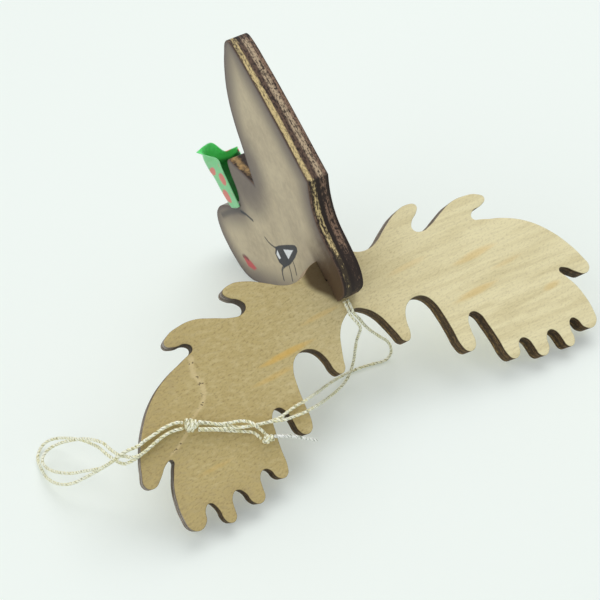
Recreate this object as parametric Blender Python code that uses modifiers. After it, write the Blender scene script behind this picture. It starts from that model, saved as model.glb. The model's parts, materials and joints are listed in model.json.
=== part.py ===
"""Wooden moose ornament: two plywood panels halved across each other, a ribbon and a gold thread.

The antlers and the head are drawn in the antlers' own frame, in millimetres: X across the span,
Y from the tines to the neck, Z out of the antlers' back face.  An empty then tips both panels
forward until the ornament lies on its front tines and its muzzle, the way it sits on a table.
The hanging thread is laid in the table's frame.
"""
import math

import bmesh
import bpy
import numpy as np
from mathutils import Matrix, Vector

MM = 0.001

# Driving dimensions, in millimetres
PLY = 4.0
FIT = 0.3
ANTLER_SPAN = 92.0
HEAD_LENGTH = 49.0
LAP_END = 16.4
RIBBON_THICKNESS = 0.4
THREAD = 0.65
KNOT_LENGTH = 2.2
KNOT_DIAMETER = 2.7
END_KNOT_DIAMETER = 1.7

# The outlines below are drawn at these sizes
DRAWN_SPAN = 92.0
DRAWN_HEAD_LENGTH = 49.0
CROWN_EDGE = 12.3

# Sampling of the curves
OUTLINE_STEPS = 3
CORD_STEP = 1.7
ROUTE_SAMPLES = 24

SMOOTH = "AUTO"
CORNER = "VECTOR"

# Right half of the antlers, X and Y, from the middle of the arch round the tines to the neck slot
ARCH = ((0.0, 10.0), (2.2, 9.1), (3.9, 7.2), (4.9, 4.8), (5.6, 2.6))
TINE_1 = ((6.1, 1.1), (7.0, 0.7), (7.8, 1.6), (8.2, 3.9), (9.1, 6.0))
TINE_2 = ((10.4, 7.0), (11.9, 7.2), (13.4, 6.6), (14.5, 5.0), (15.1, 2.2), (15.4, -1.2), (15.6, -4.3),
          (16.3, -5.7), (17.4, -5.9), (18.3, -5.0), (18.6, -2.6), (19.1, -0.5))
TINE_3 = ((20.2, 0.35), (21.4, -0.4), (22.1, -3.0), (22.6, -6.5), (22.9, -9.4),
          (23.5, -10.5), (24.5, -10.7), (25.4, -9.9), (25.8, -8.6))
TINE_4 = ((26.8, -7.9), (27.9, -8.7), (28.3, -10.4), (28.7, -12.2), (29.8, -12.7), (30.9, -11.8), (31.4, -9.9))
TINE_5 = ((32.5, -8.9), (33.6, -9.6), (34.1, -11.4), (34.5, -13.0), (35.4, -13.4), (36.3, -12.6), (36.6, -10.2))
TINE_6 = ((37.6, -8.8), (38.6, -9.5), (39.2, -11.2), (40.7, -12.1), (42.1, -11.3), (42.5, -9.2), (42.3, -6.4),
          (41.6, -3.6), (40.5, -1.3))
SPIKE = ((40.0, 0.3), (41.2, 0.1), (42.9, -1.5), (44.7, -2.6), (45.9, -1.8), (45.5, 0.5), (44.3, 3.5),
         (42.1, 7.2), (38.6, 10.9), (34.5, 13.3), (30.6, 14.7))
OUTER_CURL = ((28.8, 15.7), (29.5, 16.8), (31.5, 17.1), (32.9, 18.1), (31.9, 19.3), (29.5, 20.0), (26.5, 20.0),
              (23.2, 18.8), (20.6, 17.7))
INNER_CURL = ((18.4, 17.4), (17.2, 18.4), (17.8, 19.8), (19.3, 20.9), (19.9, 22.1), (18.3, 22.9), (15.5, 22.4),
              (12.2, 20.6), (9.6, 19.0))
NECK_EDGE = ((7.6, 18.5), (5.6, 18.9), (3.8, 20.0), (2.0, 20.4))

# Side view of the head, Y and Z, with the corners that are cut sharp
NAPE = ((12.3, -0.5, SMOOTH), (12.3, 2.6, SMOOTH), (12.9, 5.2, SMOOTH), (15.5, 7.3, SMOOTH), (20.0, 7.8, SMOOTH),
        (24.5, 8.1, SMOOTH), (28.2, 10.0, SMOOTH), (31.5, 13.4, CORNER))
NECK = ((59.6, 9.6, SMOOTH), (60.6, 8.2, SMOOTH), (59.8, 5.0, SMOOTH), (57.9, 0.9, SMOOTH), (55.0, -3.2, SMOOTH),
        (51.0, -6.5, SMOOTH), (45.5, -9.3, SMOOTH))
BELL = ((39.5, -12.4, CORNER), (42.2, -14.8, SMOOTH), (45.4, -17.9, SMOOTH), (47.4, -20.4, SMOOTH),
        (45.6, -22.2, SMOOTH), (42.0, -23.4, SMOOTH), (40.2, -25.0, SMOOTH))
JAW = ((39.3, -27.3, CORNER), (40.5, -31.0, SMOOTH), (42.2, -35.5, SMOOTH), (43.1, -40.2, SMOOTH),
       (42.3, -43.8, SMOOTH), (39.8, -45.8, SMOOTH))
MUZZLE = ((36.6, -46.3, SMOOTH), (32.6, -45.7, SMOOTH), (29.0, -44.1, SMOOTH), (26.6, -41.4, SMOOTH),
          (25.1, -38.2, SMOOTH))
FOREHEAD = ((23.0, -33.5, SMOOTH), (20.0, -27.0, SMOOTH), (16.8, -18.5, SMOOTH), (13.8, -10.0, SMOOTH),
            (12.5, -5.0, SMOOTH))

# Ribbon cage, X, Y and Z: rows from the throat to the cut end, columns from the near rim to the far one
RIBBON_CAGE = (
    ((-1.2, 39.9, -26.3), (-1.2, 40.2, -27.8), (0.0, 40.2, -28.3), (1.2, 40.2, -27.8), (1.2, 39.9, -26.3)),
    ((-2.6, 43.8, -25.6), (-2.9, 44.2, -29.2), (-0.8, 44.5, -31.4), (1.8, 44.2, -29.2), (2.9, 43.8, -26.2)),
    ((-3.0, 47.8, -25.0), (-3.7, 48.4, -29.2), (-1.4, 48.6, -31.2), (2.0, 48.0, -29.0), (3.6, 47.6, -26.2)),
    ((-6.0, 52.3, -26.0), (-3.8, 53.0, -25.0), (-1.8, 51.6, -26.4), (1.0, 50.4, -26.0), (4.2, 50.2, -25.2)))

# Routes of the hanging thread in the table's frame, as it lies in the photograph
STRAND_A = (
    (-0.3, -17.4, 20.8), (-0.3, -18.1, 20.2), (-0.35, -18.9, 19.5), (-0.2, -18.8, 18.7),
    (0.3, -18.9, 17.7), (0.9, -18.9, 16.5), (1.8, -18.6, 14.5), (3.3, -17.8, 11.8),
    (5.7, -16.8, 8.1), (7.7, -15.4, 5.0), (8.4, -15.3, 3.2), (8.5, -15.2, 1.5),
    (7.8, -15.3, 0.6), (6.5, -15.4, 0.4), (4.4, -14.8, 0.4), (2.2, -14.4, 0.5),
    (-0.1, -14.1, 0.4), (-2.5, -14.6, 0.9), (-5.7, -16.8, 3.0), (-10.8, -22.3, 8.2),
    (-13.9, -25.7, 11.5), (-15.5, -26.8, 12.4), (-16.9, -26.6, 12.1), (-18.9, -26.8, 11.9),
    (-20.6, -27.0, 11.7), (-22.2, -26.9, 11.8), (-23.8, -26.7, 12.0), (-25.9, -26.3, 12.4),
    (-27.5, -25.9, 12.8), (-29.1, -25.2, 13.4), (-30.7, -24.4, 14.1), (-32.1, -23.8, 14.7),
    (-33.7, -23.2, 15.3))
STRAND_B = (
    (-1.02, -17.4, 20.8), (-1.02, -18.1, 20.2), (-1.07, -18.9, 19.5), (-1.0, -19.0, 18.8),
    (-0.7, -19.3, 18.1), (-0.2, -19.8, 17.0), (0.5, -19.5, 15.2), (0.6, -18.6, 13.2),
    (0.6, -17.3, 10.6), (0.7, -15.9, 7.0), (0.3, -15.3, 3.7), (-1.7, -16.4, 1.9),
    (-4.4, -17.8, 1.7), (-8.5, -21.0, 4.2), (-12.5, -25.2, 8.3), (-14.9, -27.5, 10.7),
    (-16.5, -28.0, 11.2), (-18.1, -27.7, 11.1), (-20.0, -28.1, 11.8), (-21.4, -27.9, 12.2),
    (-22.5, -27.6, 12.4), (-24.1, -27.3, 12.7), (-26.1, -27.0, 13.1), (-27.7, -26.6, 13.4),
    (-29.5, -26.1, 13.9), (-31.2, -25.5, 14.4), (-32.7, -25.0, 14.9), (-34.2, -24.5, 15.4))
END_STRAND_UPPER = (
    (-24.4, -28.6, 11.6), (-24.8, -28.4, 12.5), (-25.3, -28.17, 13.33), (-25.7, -27.5, 13.91),
    (-26.3, -26.44, 13.87), (-27.4, -25.76, 14.05), (-29.0, -25.5, 14.41), (-30.7, -25.12, 14.89),
    (-32.2, -24.45, 15.56), (-33.7, -23.8, 16.2))
END_STRAND_LOWER = (
    (-25.1, -28.5, 10.6), (-25.7, -27.37, 11.41), (-26.5, -26.85, 11.83), (-27.7, -26.39, 12.3),
    (-29.0, -25.9, 12.79), (-30.3, -25.32, 13.27), (-31.4, -24.9, 13.7), (-32.6, -24.5, 14.1),
    (-34.1, -24.0, 14.6))
TAIL_LONG = (
    (-23.2, -29.4, 10.7), (-22.4, -29.7, 10.6), (-21.1, -30.0, 10.0), (-19.7, -30.3, 9.2),
    (-18.0, -30.6, 8.0), (-16.1, -30.7, 6.4))
TAIL_SHORT = (
    (-23.03, -28.86, 10.26), (-22.14, -29.1, 10.06), (-20.84, -29.4, 9.46), (-19.44, -29.7, 8.66),
    (-18.7, -29.85, 8.05))
LOOP_OUTER = (
    (-35.8, -22.4, 16.1), (-36.9, -22.0, 16.4), (-38.7, -22.0, 16.5), (-40.8, -22.1, 16.3),
    (-42.8, -22.3, 16.1), (-44.3, -22.6, 16.0), (-46.0, -21.7, 15.2), (-48.0, -20.7, 13.6),
    (-49.5, -18.3, 10.7), (-50.9, -16.6, 8.8), (-53.0, -15.1, 7.1), (-55.2, -13.2, 5.3),
    (-56.9, -10.1, 3.4), (-58.0, -6.2, 1.9), (-58.1, -2.6, 0.9), (-57.8, 0.7, 0.5),
    (-56.8, 2.5, 0.7), (-55.1, 2.8, 1.6), (-53.2, 0.9, 3.1), (-51.3, -2.8, 5.1),
    (-49.8, -7.0, 7.1), (-48.7, -11.6, 8.9), (-48.3, -14.7, 9.8), (-47.7, -17.6, 10.4),
    (-47.4, -20.6, 12.1), (-46.9, -22.8, 13.7), (-45.3, -23.7, 14.7), (-43.7, -23.5, 15.0),
    (-41.9, -23.2, 15.3), (-40.0, -22.8, 15.6), (-38.1, -22.7, 15.7), (-36.2, -23.0, 15.5))
LOOP_INNER = (
    (-36.0, -23.1, 16.8), (-37.1, -22.7, 17.1), (-38.9, -22.6, 17.2), (-41.0, -22.8, 17.0),
    (-42.9, -23.0, 16.8), (-44.4, -23.3, 16.7), (-46.6, -22.3, 15.8), (-48.8, -21.2, 14.0),
    (-50.3, -18.7, 11.2), (-51.3, -17.3, 10.1), (-52.7, -14.9, 8.4), (-54.5, -11.7, 6.1),
    (-56.3, -7.9, 4.1), (-57.3, -4.5, 2.7), (-57.4, -1.8, 2.0), (-56.5, -0.6, 2.3),
    (-55.0, -0.8, 3.3), (-53.2, -2.3, 4.7), (-51.5, -4.6, 6.3), (-49.8, -7.9, 8.5),
    (-48.0, -11.9, 10.0), (-47.4, -15.1, 10.6), (-46.8, -18.1, 11.4), (-46.4, -21.2, 13.7),
    (-46.5, -23.4, 15.5), (-45.4, -24.6, 16.0), (-43.9, -24.3, 15.8), (-42.0, -23.8, 16.0),
    (-40.2, -23.5, 16.3), (-38.3, -23.4, 16.4), (-36.4, -23.7, 16.2))

STRETCHES = {
    "thread_strand_a": STRAND_A, "thread_strand_b": STRAND_B,
    "thread_end_upper": END_STRAND_UPPER, "thread_end_lower": END_STRAND_LOWER,
    "thread_tail_long": TAIL_LONG, "thread_tail_short": TAIL_SHORT,
    "loop_outer": LOOP_OUTER, "loop_inner": LOOP_INNER}

# Knots: middles and axes in the table's frame
KNOT_PLACE = (-35.1, -23.8, 16.2)
KNOT_AXIS = (-0.89, 0.34, 0.3)
KNOT_WRAPS = 3
END_KNOT_PLACE = (-24.2, -29.1, 10.6)
END_KNOT_AXIS = (-0.8, 0.5, 0.3)
END_KNOT_WRAPS = 2
KNOT_WRAP_STEPS = 6
KNOT_NECK = 0.72
KNOT_SIDES = 16


def new_material(name, colour, roughness, metallic=0.0):
    """Return a Principled material in one plain colour."""
    material = bpy.data.materials.new(name)
    material.use_nodes = True
    shader = material.node_tree.nodes["Principled BSDF"]
    shader.inputs["Base Color"].default_value = (*colour, 1.0)
    shader.inputs["Roughness"].default_value = roughness
    shader.inputs["Metallic"].default_value = metallic
    return material


def new_collection(name):
    """Return a new collection under the scene's own."""
    collection = bpy.data.collections.new(name)
    bpy.context.scene.collection.children.link(collection)
    return collection


def add_object(name, data, collection, material=None):
    """Link one object that shows a mesh or a curve, in one material."""
    obj = bpy.data.objects.new(name, data)
    collection.objects.link(obj)
    if material is not None:
        data.materials.append(material)
    return obj


def outline_curve(name, rows, thickness):
    """Return a closed 2D curve through the rows (x, y, handle type), filled and extruded to a board."""
    curve = bpy.data.curves.new(name, "CURVE")
    curve.dimensions = "2D"
    curve.fill_mode = "BOTH"
    curve.extrude = thickness / 2 * MM
    curve.resolution_u = OUTLINE_STEPS
    spline = curve.splines.new("BEZIER")
    spline.bezier_points.add(len(rows) - 1)
    spline.use_cyclic_u = True
    for point, (x, y, handle) in zip(spline.bezier_points, rows):
        point.co = (x * MM, y * MM, 0.0)
        point.handle_left_type = handle
        point.handle_right_type = handle
    return curve


def board(name, rows, placing, collection, material):
    """Cut one plywood board along an outline and return it as a mesh object placed by a matrix."""
    flat = add_object(name + "_outline", outline_curve(name, rows, PLY), collection)
    bpy.context.view_layer.update()
    graph = bpy.context.evaluated_depsgraph_get()
    mesh = bpy.data.meshes.new_from_object(flat.evaluated_get(graph))
    bpy.data.objects.remove(flat)
    weld(mesh)
    mesh.transform(placing)
    mesh.name = name
    return add_object(name, mesh, collection, material)


def weld(mesh):
    """Join the loose caps of a converted curve to its walls."""
    edit = bmesh.new()
    edit.from_mesh(mesh)
    bmesh.ops.remove_doubles(edit, verts=edit.verts, dist=1e-6)
    bmesh.ops.recalc_face_normals(edit, faces=edit.faces)
    edit.to_mesh(mesh)
    edit.free()


def box_cutter(name, low, high, collection):
    """Return a hidden box between two corners, in millimetres."""
    mesh = bpy.data.meshes.new(name)
    edit = bmesh.new()
    size = Vector(high) - Vector(low)
    middle = (Vector(high) + Vector(low)) / 2
    placing = Matrix.Translation(middle * MM) @ Matrix.Diagonal((*(size * MM), 1.0))
    bmesh.ops.create_cube(edit, size=1.0, matrix=placing)
    edit.to_mesh(mesh)
    edit.free()
    cutter = add_object(name, mesh, collection)
    cutter.hide_render = True
    cutter.display_type = "WIRE"
    return cutter


def cut(obj, cutter):
    """Subtract a cutter from a piece."""
    modifier = obj.modifiers.new("cut_" + cutter.name, "BOOLEAN")
    modifier.operation = "DIFFERENCE"
    modifier.solver = "EXACT"
    modifier.object = cutter


def antlers(parts, cutters, material):
    """Return the antler board, with the slot that takes the head from its neck edge."""
    half = ARCH + TINE_1 + TINE_2 + TINE_3 + TINE_4 + TINE_5 + TINE_6 + SPIKE + OUTER_CURL + INNER_CURL + NECK_EDGE
    scale = ANTLER_SPAN / DRAWN_SPAN
    right = [(x * scale, y * scale, SMOOTH) for x, y in half]
    left = [(-x, y, handle) for x, y, handle in reversed(right[1:])]
    sunk = Matrix.Translation((0.0, 0.0, -PLY / 2 * MM))
    panel = board("antlers", right + left, sunk, parts, material)
    reach = ANTLER_SPAN / 2
    wall = PLY / 2 + FIT
    slot = box_cutter("antler_slot", (-wall, LAP_END, -2 * PLY), (wall, reach, PLY), cutters)
    cut(panel, slot)
    return panel


def on_head(y, z):
    """Return where a point of the drawn head comes at the head's own length, with its crown edge kept in place."""
    scale = HEAD_LENGTH / DRAWN_HEAD_LENGTH
    return CROWN_EDGE + (y - CROWN_EDGE) * scale, z * scale


def head(parts, cutters, material):
    """Return the head board, standing on edge, with the slot that takes the antlers from its crown."""
    drawn = NAPE + NECK + BELL + JAW + MUZZLE + FOREHEAD
    rows = [(*on_head(y, z), handle) for y, z, handle in drawn]
    upright = Matrix(((0, 0, 1, 0), (1, 0, 0, 0), (0, 1, 0, 0), (0, 0, 0, 1)))
    panel = board("head", rows, upright, parts, material)
    slot = box_cutter("head_slot", (-PLY, 0.0, -PLY - FIT), (PLY, LAP_END + FIT, FIT), cutters)
    cut(panel, slot)
    return panel


def resting_pose(rack, face):
    """Return the matrix that lays the panels on their lowest tines and the muzzle, centred on the origin."""
    bpy.context.view_layer.update()
    rack_yz = panel_points(rack)
    face_yz = panel_points(face)
    tip_y = rack_yz[:, 0].min()
    tip_z = rack_yz[:, 1].min()
    tilt = np.arctan2(tip_z - face_yz[:, 1], face_yz[:, 0] - tip_y).max()
    both = np.vstack((rack_yz, face_yz)) - (tip_y, tip_z)
    depth = both[:, 0] * math.cos(tilt) - both[:, 1] * math.sin(tilt)
    middle = (depth.min() + depth.max()) / 2
    to_tip = Matrix.Translation((0.0, -tip_y, -tip_z))
    return Matrix.Translation((0.0, -middle, 0.0)) @ Matrix.Rotation(tilt, 4, "X") @ to_tip


def panel_points(panel):
    """Return the Y and Z of every vertex of a finished panel."""
    mesh = panel.evaluated_get(bpy.context.evaluated_depsgraph_get()).data
    points = np.empty(len(mesh.vertices) * 3)
    mesh.vertices.foreach_get("co", points)
    return points.reshape(-1, 3)[:, 1:]


def ribbon(parts, material):
    """Return the folded ribbon that is tucked into the throat: a coarse cage, thickened and smoothed."""
    rows = len(RIBBON_CAGE)
    columns = len(RIBBON_CAGE[0])
    notch_y, notch_z, _ = JAW[0]
    throat = Vector((0.0, *on_head(notch_y, notch_z))) - Vector((0.0, notch_y, notch_z))
    points = [(Vector(point) + throat) * MM for row in RIBBON_CAGE for point in row]
    corners = [(r * columns + c, r * columns + c + 1, (r + 1) * columns + c + 1, (r + 1) * columns + c)
               for r in range(rows - 1) for c in range(columns - 1)]
    mesh = bpy.data.meshes.new("ribbon")
    mesh.from_pydata(points, [], corners)
    strip = add_object("ribbon", mesh, parts, material)
    smooth = strip.modifiers.new("smooth", "SUBSURF")
    smooth.levels = 2
    smooth.render_levels = 2
    thick = strip.modifiers.new("thickness", "SOLIDIFY")
    thick.thickness = RIBBON_THICKNESS * MM
    thick.offset = 0.0
    mesh.shade_smooth()
    return strip


def smooth_route(route):
    """Return points about CORD_STEP apart on a smooth curve through a route, in metres."""
    knots = np.array(route)
    ends = np.vstack((2 * knots[0] - knots[1], knots, 2 * knots[-1] - knots[-2]))
    before, start, stop, after = ends[:-3], ends[1:-2], ends[2:-1], ends[3:]
    t = np.linspace(0.0, 1.0, ROUTE_SAMPLES, endpoint=False).reshape(1, -1, 1)
    before, start, stop, after = (side[:, None, :] for side in (before, start, stop, after))
    fine = 0.5 * (2 * start + (stop - before) * t + (2 * before - 5 * start + 4 * stop - after) * t ** 2
                  + (3 * start - before - 3 * stop + after) * t ** 3)
    fine = np.vstack((fine.reshape(-1, 3), knots[-1:]))
    run = np.concatenate(((0.0,), np.cumsum(np.linalg.norm(np.diff(fine, axis=0), axis=1))))
    places = np.linspace(0.0, run[-1], max(4, round(run[-1] / CORD_STEP)) + 1)
    return np.column_stack([np.interp(places, run, fine[:, axis]) for axis in range(3)]) * MM


def thread(name, route, parts, material):
    """Return one stretch of thread: a round tube along a route."""
    points = smooth_route(route)
    curve = bpy.data.curves.new(name, "CURVE")
    curve.dimensions = "3D"
    curve.bevel_depth = THREAD / 2 * MM
    curve.bevel_resolution = 2
    curve.use_fill_caps = True
    spline = curve.splines.new("POLY")
    spline.points.add(len(points) - 1)
    for point, place in zip(spline.points, points):
        point.co = (*place, 1.0)
    return add_object(name, curve, parts, material)


def wrapped_knot(name, middle, along, length, diameter, wraps, parts, material):
    """Return a tight knot: a turned barrel with one bulge for each wrap of thread."""
    mesh = bpy.data.meshes.new(name)
    edit = bmesh.new()
    steps = wraps * KNOT_WRAP_STEPS
    neck = diameter / 2 * KNOT_NECK
    profile = [edit.verts.new((0.0, 0.0, length / 2 * MM))]
    for i in range(steps + 1):
        swell = abs(math.sin(math.pi * wraps * i / steps))
        radius = neck + (diameter / 2 - neck) * swell
        profile.append(edit.verts.new((radius * MM, 0.0, (0.5 - i / steps) * length * MM)))
    profile.append(edit.verts.new((0.0, 0.0, -length / 2 * MM)))
    for first, second in zip(profile, profile[1:]):
        edit.edges.new((first, second))
    edit.to_mesh(mesh)
    edit.free()
    barrel = add_object(name, mesh, parts, material)
    turn = barrel.modifiers.new("turn", "SCREW")
    turn.angle = math.tau
    turn.steps = KNOT_SIDES
    turn.render_steps = KNOT_SIDES
    turn.use_merge_vertices = True
    turn.merge_threshold = 1e-6
    barrel.location = Vector(middle) * MM
    barrel.rotation_mode = "QUATERNION"
    barrel.rotation_quaternion = Vector(along).to_track_quat("Z", "Y")
    return barrel


def main():
    """Build the ornament."""
    for obj in list(bpy.data.objects):
        bpy.data.objects.remove(obj)
    parts = new_collection("moose_ornament")
    cutters = new_collection("cutters")
    antler_wood = new_material("antler_plywood", (0.66, 0.56, 0.34), 0.75)
    head_wood = new_material("painted_plywood", (0.42, 0.38, 0.29), 0.7)
    ribbon_cloth = new_material("printed_ribbon", (0.16, 0.45, 0.2), 0.6)
    gold = new_material("gold_thread", (0.75, 0.7, 0.48), 0.35, 0.6)
    rack = antlers(parts, cutters, antler_wood)
    face = head(parts, cutters, head_wood)
    scarf = ribbon(parts, ribbon_cloth)
    stand = bpy.data.objects.new("stand", None)
    parts.objects.link(stand)
    stand.matrix_world = resting_pose(rack, face)
    for obj in (rack, face, scarf, *cutters.objects):
        obj.parent = stand
    for name, route in STRETCHES.items():
        thread(name, route, parts, gold)
    wrapped_knot("overhand_knot", KNOT_PLACE, KNOT_AXIS, KNOT_LENGTH, KNOT_DIAMETER, KNOT_WRAPS, parts, gold)
    wrapped_knot("end_knot", END_KNOT_PLACE, END_KNOT_AXIS, END_KNOT_DIAMETER, END_KNOT_DIAMETER, END_KNOT_WRAPS,
                 parts, gold)


main()
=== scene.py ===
"""Wooden moose ornament: bare plywood antlers, a painted head, a printed ribbon and a gold thread.

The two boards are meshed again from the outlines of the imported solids, with a softened cut edge.  Attributes
keep each point's place on its board and its distance to the rim, and the finishes read those.
"""
import json
import logging
import math
from dataclasses import dataclass
from enum import Enum
from functools import reduce
from typing import TypeAlias

import bpy
import numpy as np
from mathutils import Matrix, Vector
from mathutils.geometry import delaunay_2d_cdt

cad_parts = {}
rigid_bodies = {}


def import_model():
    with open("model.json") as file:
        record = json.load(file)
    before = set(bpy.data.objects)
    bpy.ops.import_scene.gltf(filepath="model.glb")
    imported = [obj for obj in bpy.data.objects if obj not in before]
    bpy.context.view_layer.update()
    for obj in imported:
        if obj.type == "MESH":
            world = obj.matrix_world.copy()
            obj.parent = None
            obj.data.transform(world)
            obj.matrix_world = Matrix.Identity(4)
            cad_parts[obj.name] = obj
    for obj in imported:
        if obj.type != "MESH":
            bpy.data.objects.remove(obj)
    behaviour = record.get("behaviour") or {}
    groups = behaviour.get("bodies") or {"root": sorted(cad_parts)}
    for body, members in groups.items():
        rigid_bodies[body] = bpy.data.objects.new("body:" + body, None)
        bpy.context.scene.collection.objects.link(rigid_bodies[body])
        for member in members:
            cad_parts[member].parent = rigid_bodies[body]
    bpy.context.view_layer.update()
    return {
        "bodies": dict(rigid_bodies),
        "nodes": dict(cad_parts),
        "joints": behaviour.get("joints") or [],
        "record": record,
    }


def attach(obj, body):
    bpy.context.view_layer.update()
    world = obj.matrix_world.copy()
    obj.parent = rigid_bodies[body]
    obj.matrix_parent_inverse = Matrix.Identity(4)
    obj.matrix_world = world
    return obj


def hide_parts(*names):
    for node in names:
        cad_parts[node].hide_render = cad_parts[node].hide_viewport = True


LOG = logging.getLogger("moose_ornament")
MM = 0.001
WOOD_RELIEF = 0.12 * MM
THREAD_RELIEF = 0.05 * MM
TOUCHING = 1e-7
INNER_TRIANGLES = 1
ALONG, UP, THROUGH = range(3)
Colour: TypeAlias = tuple[float, float, float]
Point2: TypeAlias = tuple[float, float]
Point3: TypeAlias = tuple[float, float, float]
Fade: TypeAlias = tuple[int, float, float]
Number: TypeAlias = "Value | float"
Socket: TypeAlias = bpy.types.NodeSocket
Material: TypeAlias = bpy.types.Material
Piece: TypeAlias = bpy.types.Object


def srgb(red: int, green: int, blue: int) -> Colour:
    """Turn a colour as it shows on a screen into the linear one that a shader takes.

    Args:
        red: red, 0 to 255.
        green: green, 0 to 255.
        blue: blue, 0 to 255.

    Returns:
        The three linear values, 0 to 1.
    """
    screen = np.array((red, green, blue)) / 255.0
    linear = np.where(screen <= 0.04045, screen / 12.92, ((screen + 0.055) / 1.055) ** 2.4)
    return tuple(float(part) for part in linear)


class Value:
    """One number of a shader; Python arithmetic on it adds Math nodes."""

    def __init__(self, paint: "Paint", socket: Socket) -> None:
        """Keep the shader and the socket."""
        self.paint = paint
        self.socket = socket

    def math(self, operation: str, *others: Number) -> "Value":
        """Add one Math node with this number first."""
        return self.paint.value("ShaderNodeMath", {"operation": operation}, dict(enumerate((self, *others))))

    def __add__(self, other: Number) -> "Value":
        """Sum."""
        return self.math("ADD", other)

    def __sub__(self, other: Number) -> "Value":
        """Difference."""
        return self.math("SUBTRACT", other)

    def __rsub__(self, other: float) -> "Value":
        """Number minus this."""
        return self.paint.value("ShaderNodeMath", {"operation": "SUBTRACT"}, {0: other, 1: self})

    def __mul__(self, other: Number) -> "Value":
        """Product."""
        return self.math("MULTIPLY", other)

    def __truediv__(self, other: Number) -> "Value":
        """Quotient."""
        return self.math("DIVIDE", other)

    def __pow__(self, other: Number) -> "Value":
        """Power."""
        return self.math("POWER", other)

    def __abs__(self) -> "Value":
        """Distance from zero."""
        return self.math("ABSOLUTE")

    def most(self, other: Number) -> "Value":
        """Larger of two."""
        return self.math("MAXIMUM", other)

    def least(self, other: Number) -> "Value":
        """Smaller of two."""
        return self.math("MINIMUM", other)

    def ramp(self, start: float, stop: float) -> "Value":
        """Go smoothly from 0 at start to 1 at stop, whichever is larger."""
        low, high = sorted((start, stop))
        rising = start < stop
        ends = {1: low, 2: high, 3: 0.0 if rising else 1.0, 4: 1.0 if rising else 0.0}
        settings = {"interpolation_type": "SMOOTHSTEP"}
        return self.paint.value("ShaderNodeMapRange", settings, {0: self, **ends})

    __radd__ = __add__
    __rmul__ = __mul__


@dataclass(frozen=True)
class Grain:
    """A drawn-out noise.

    Attributes:
        scale: cycles in a millimetre on each axis.
        turn: turn about the third axis before that, in degrees.
        detail: octaves.
        rough: strength of each octave against the one before.
    """

    scale: Point3
    turn: float = 0.0
    detail: float = 3.0
    rough: float = 0.55


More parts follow.
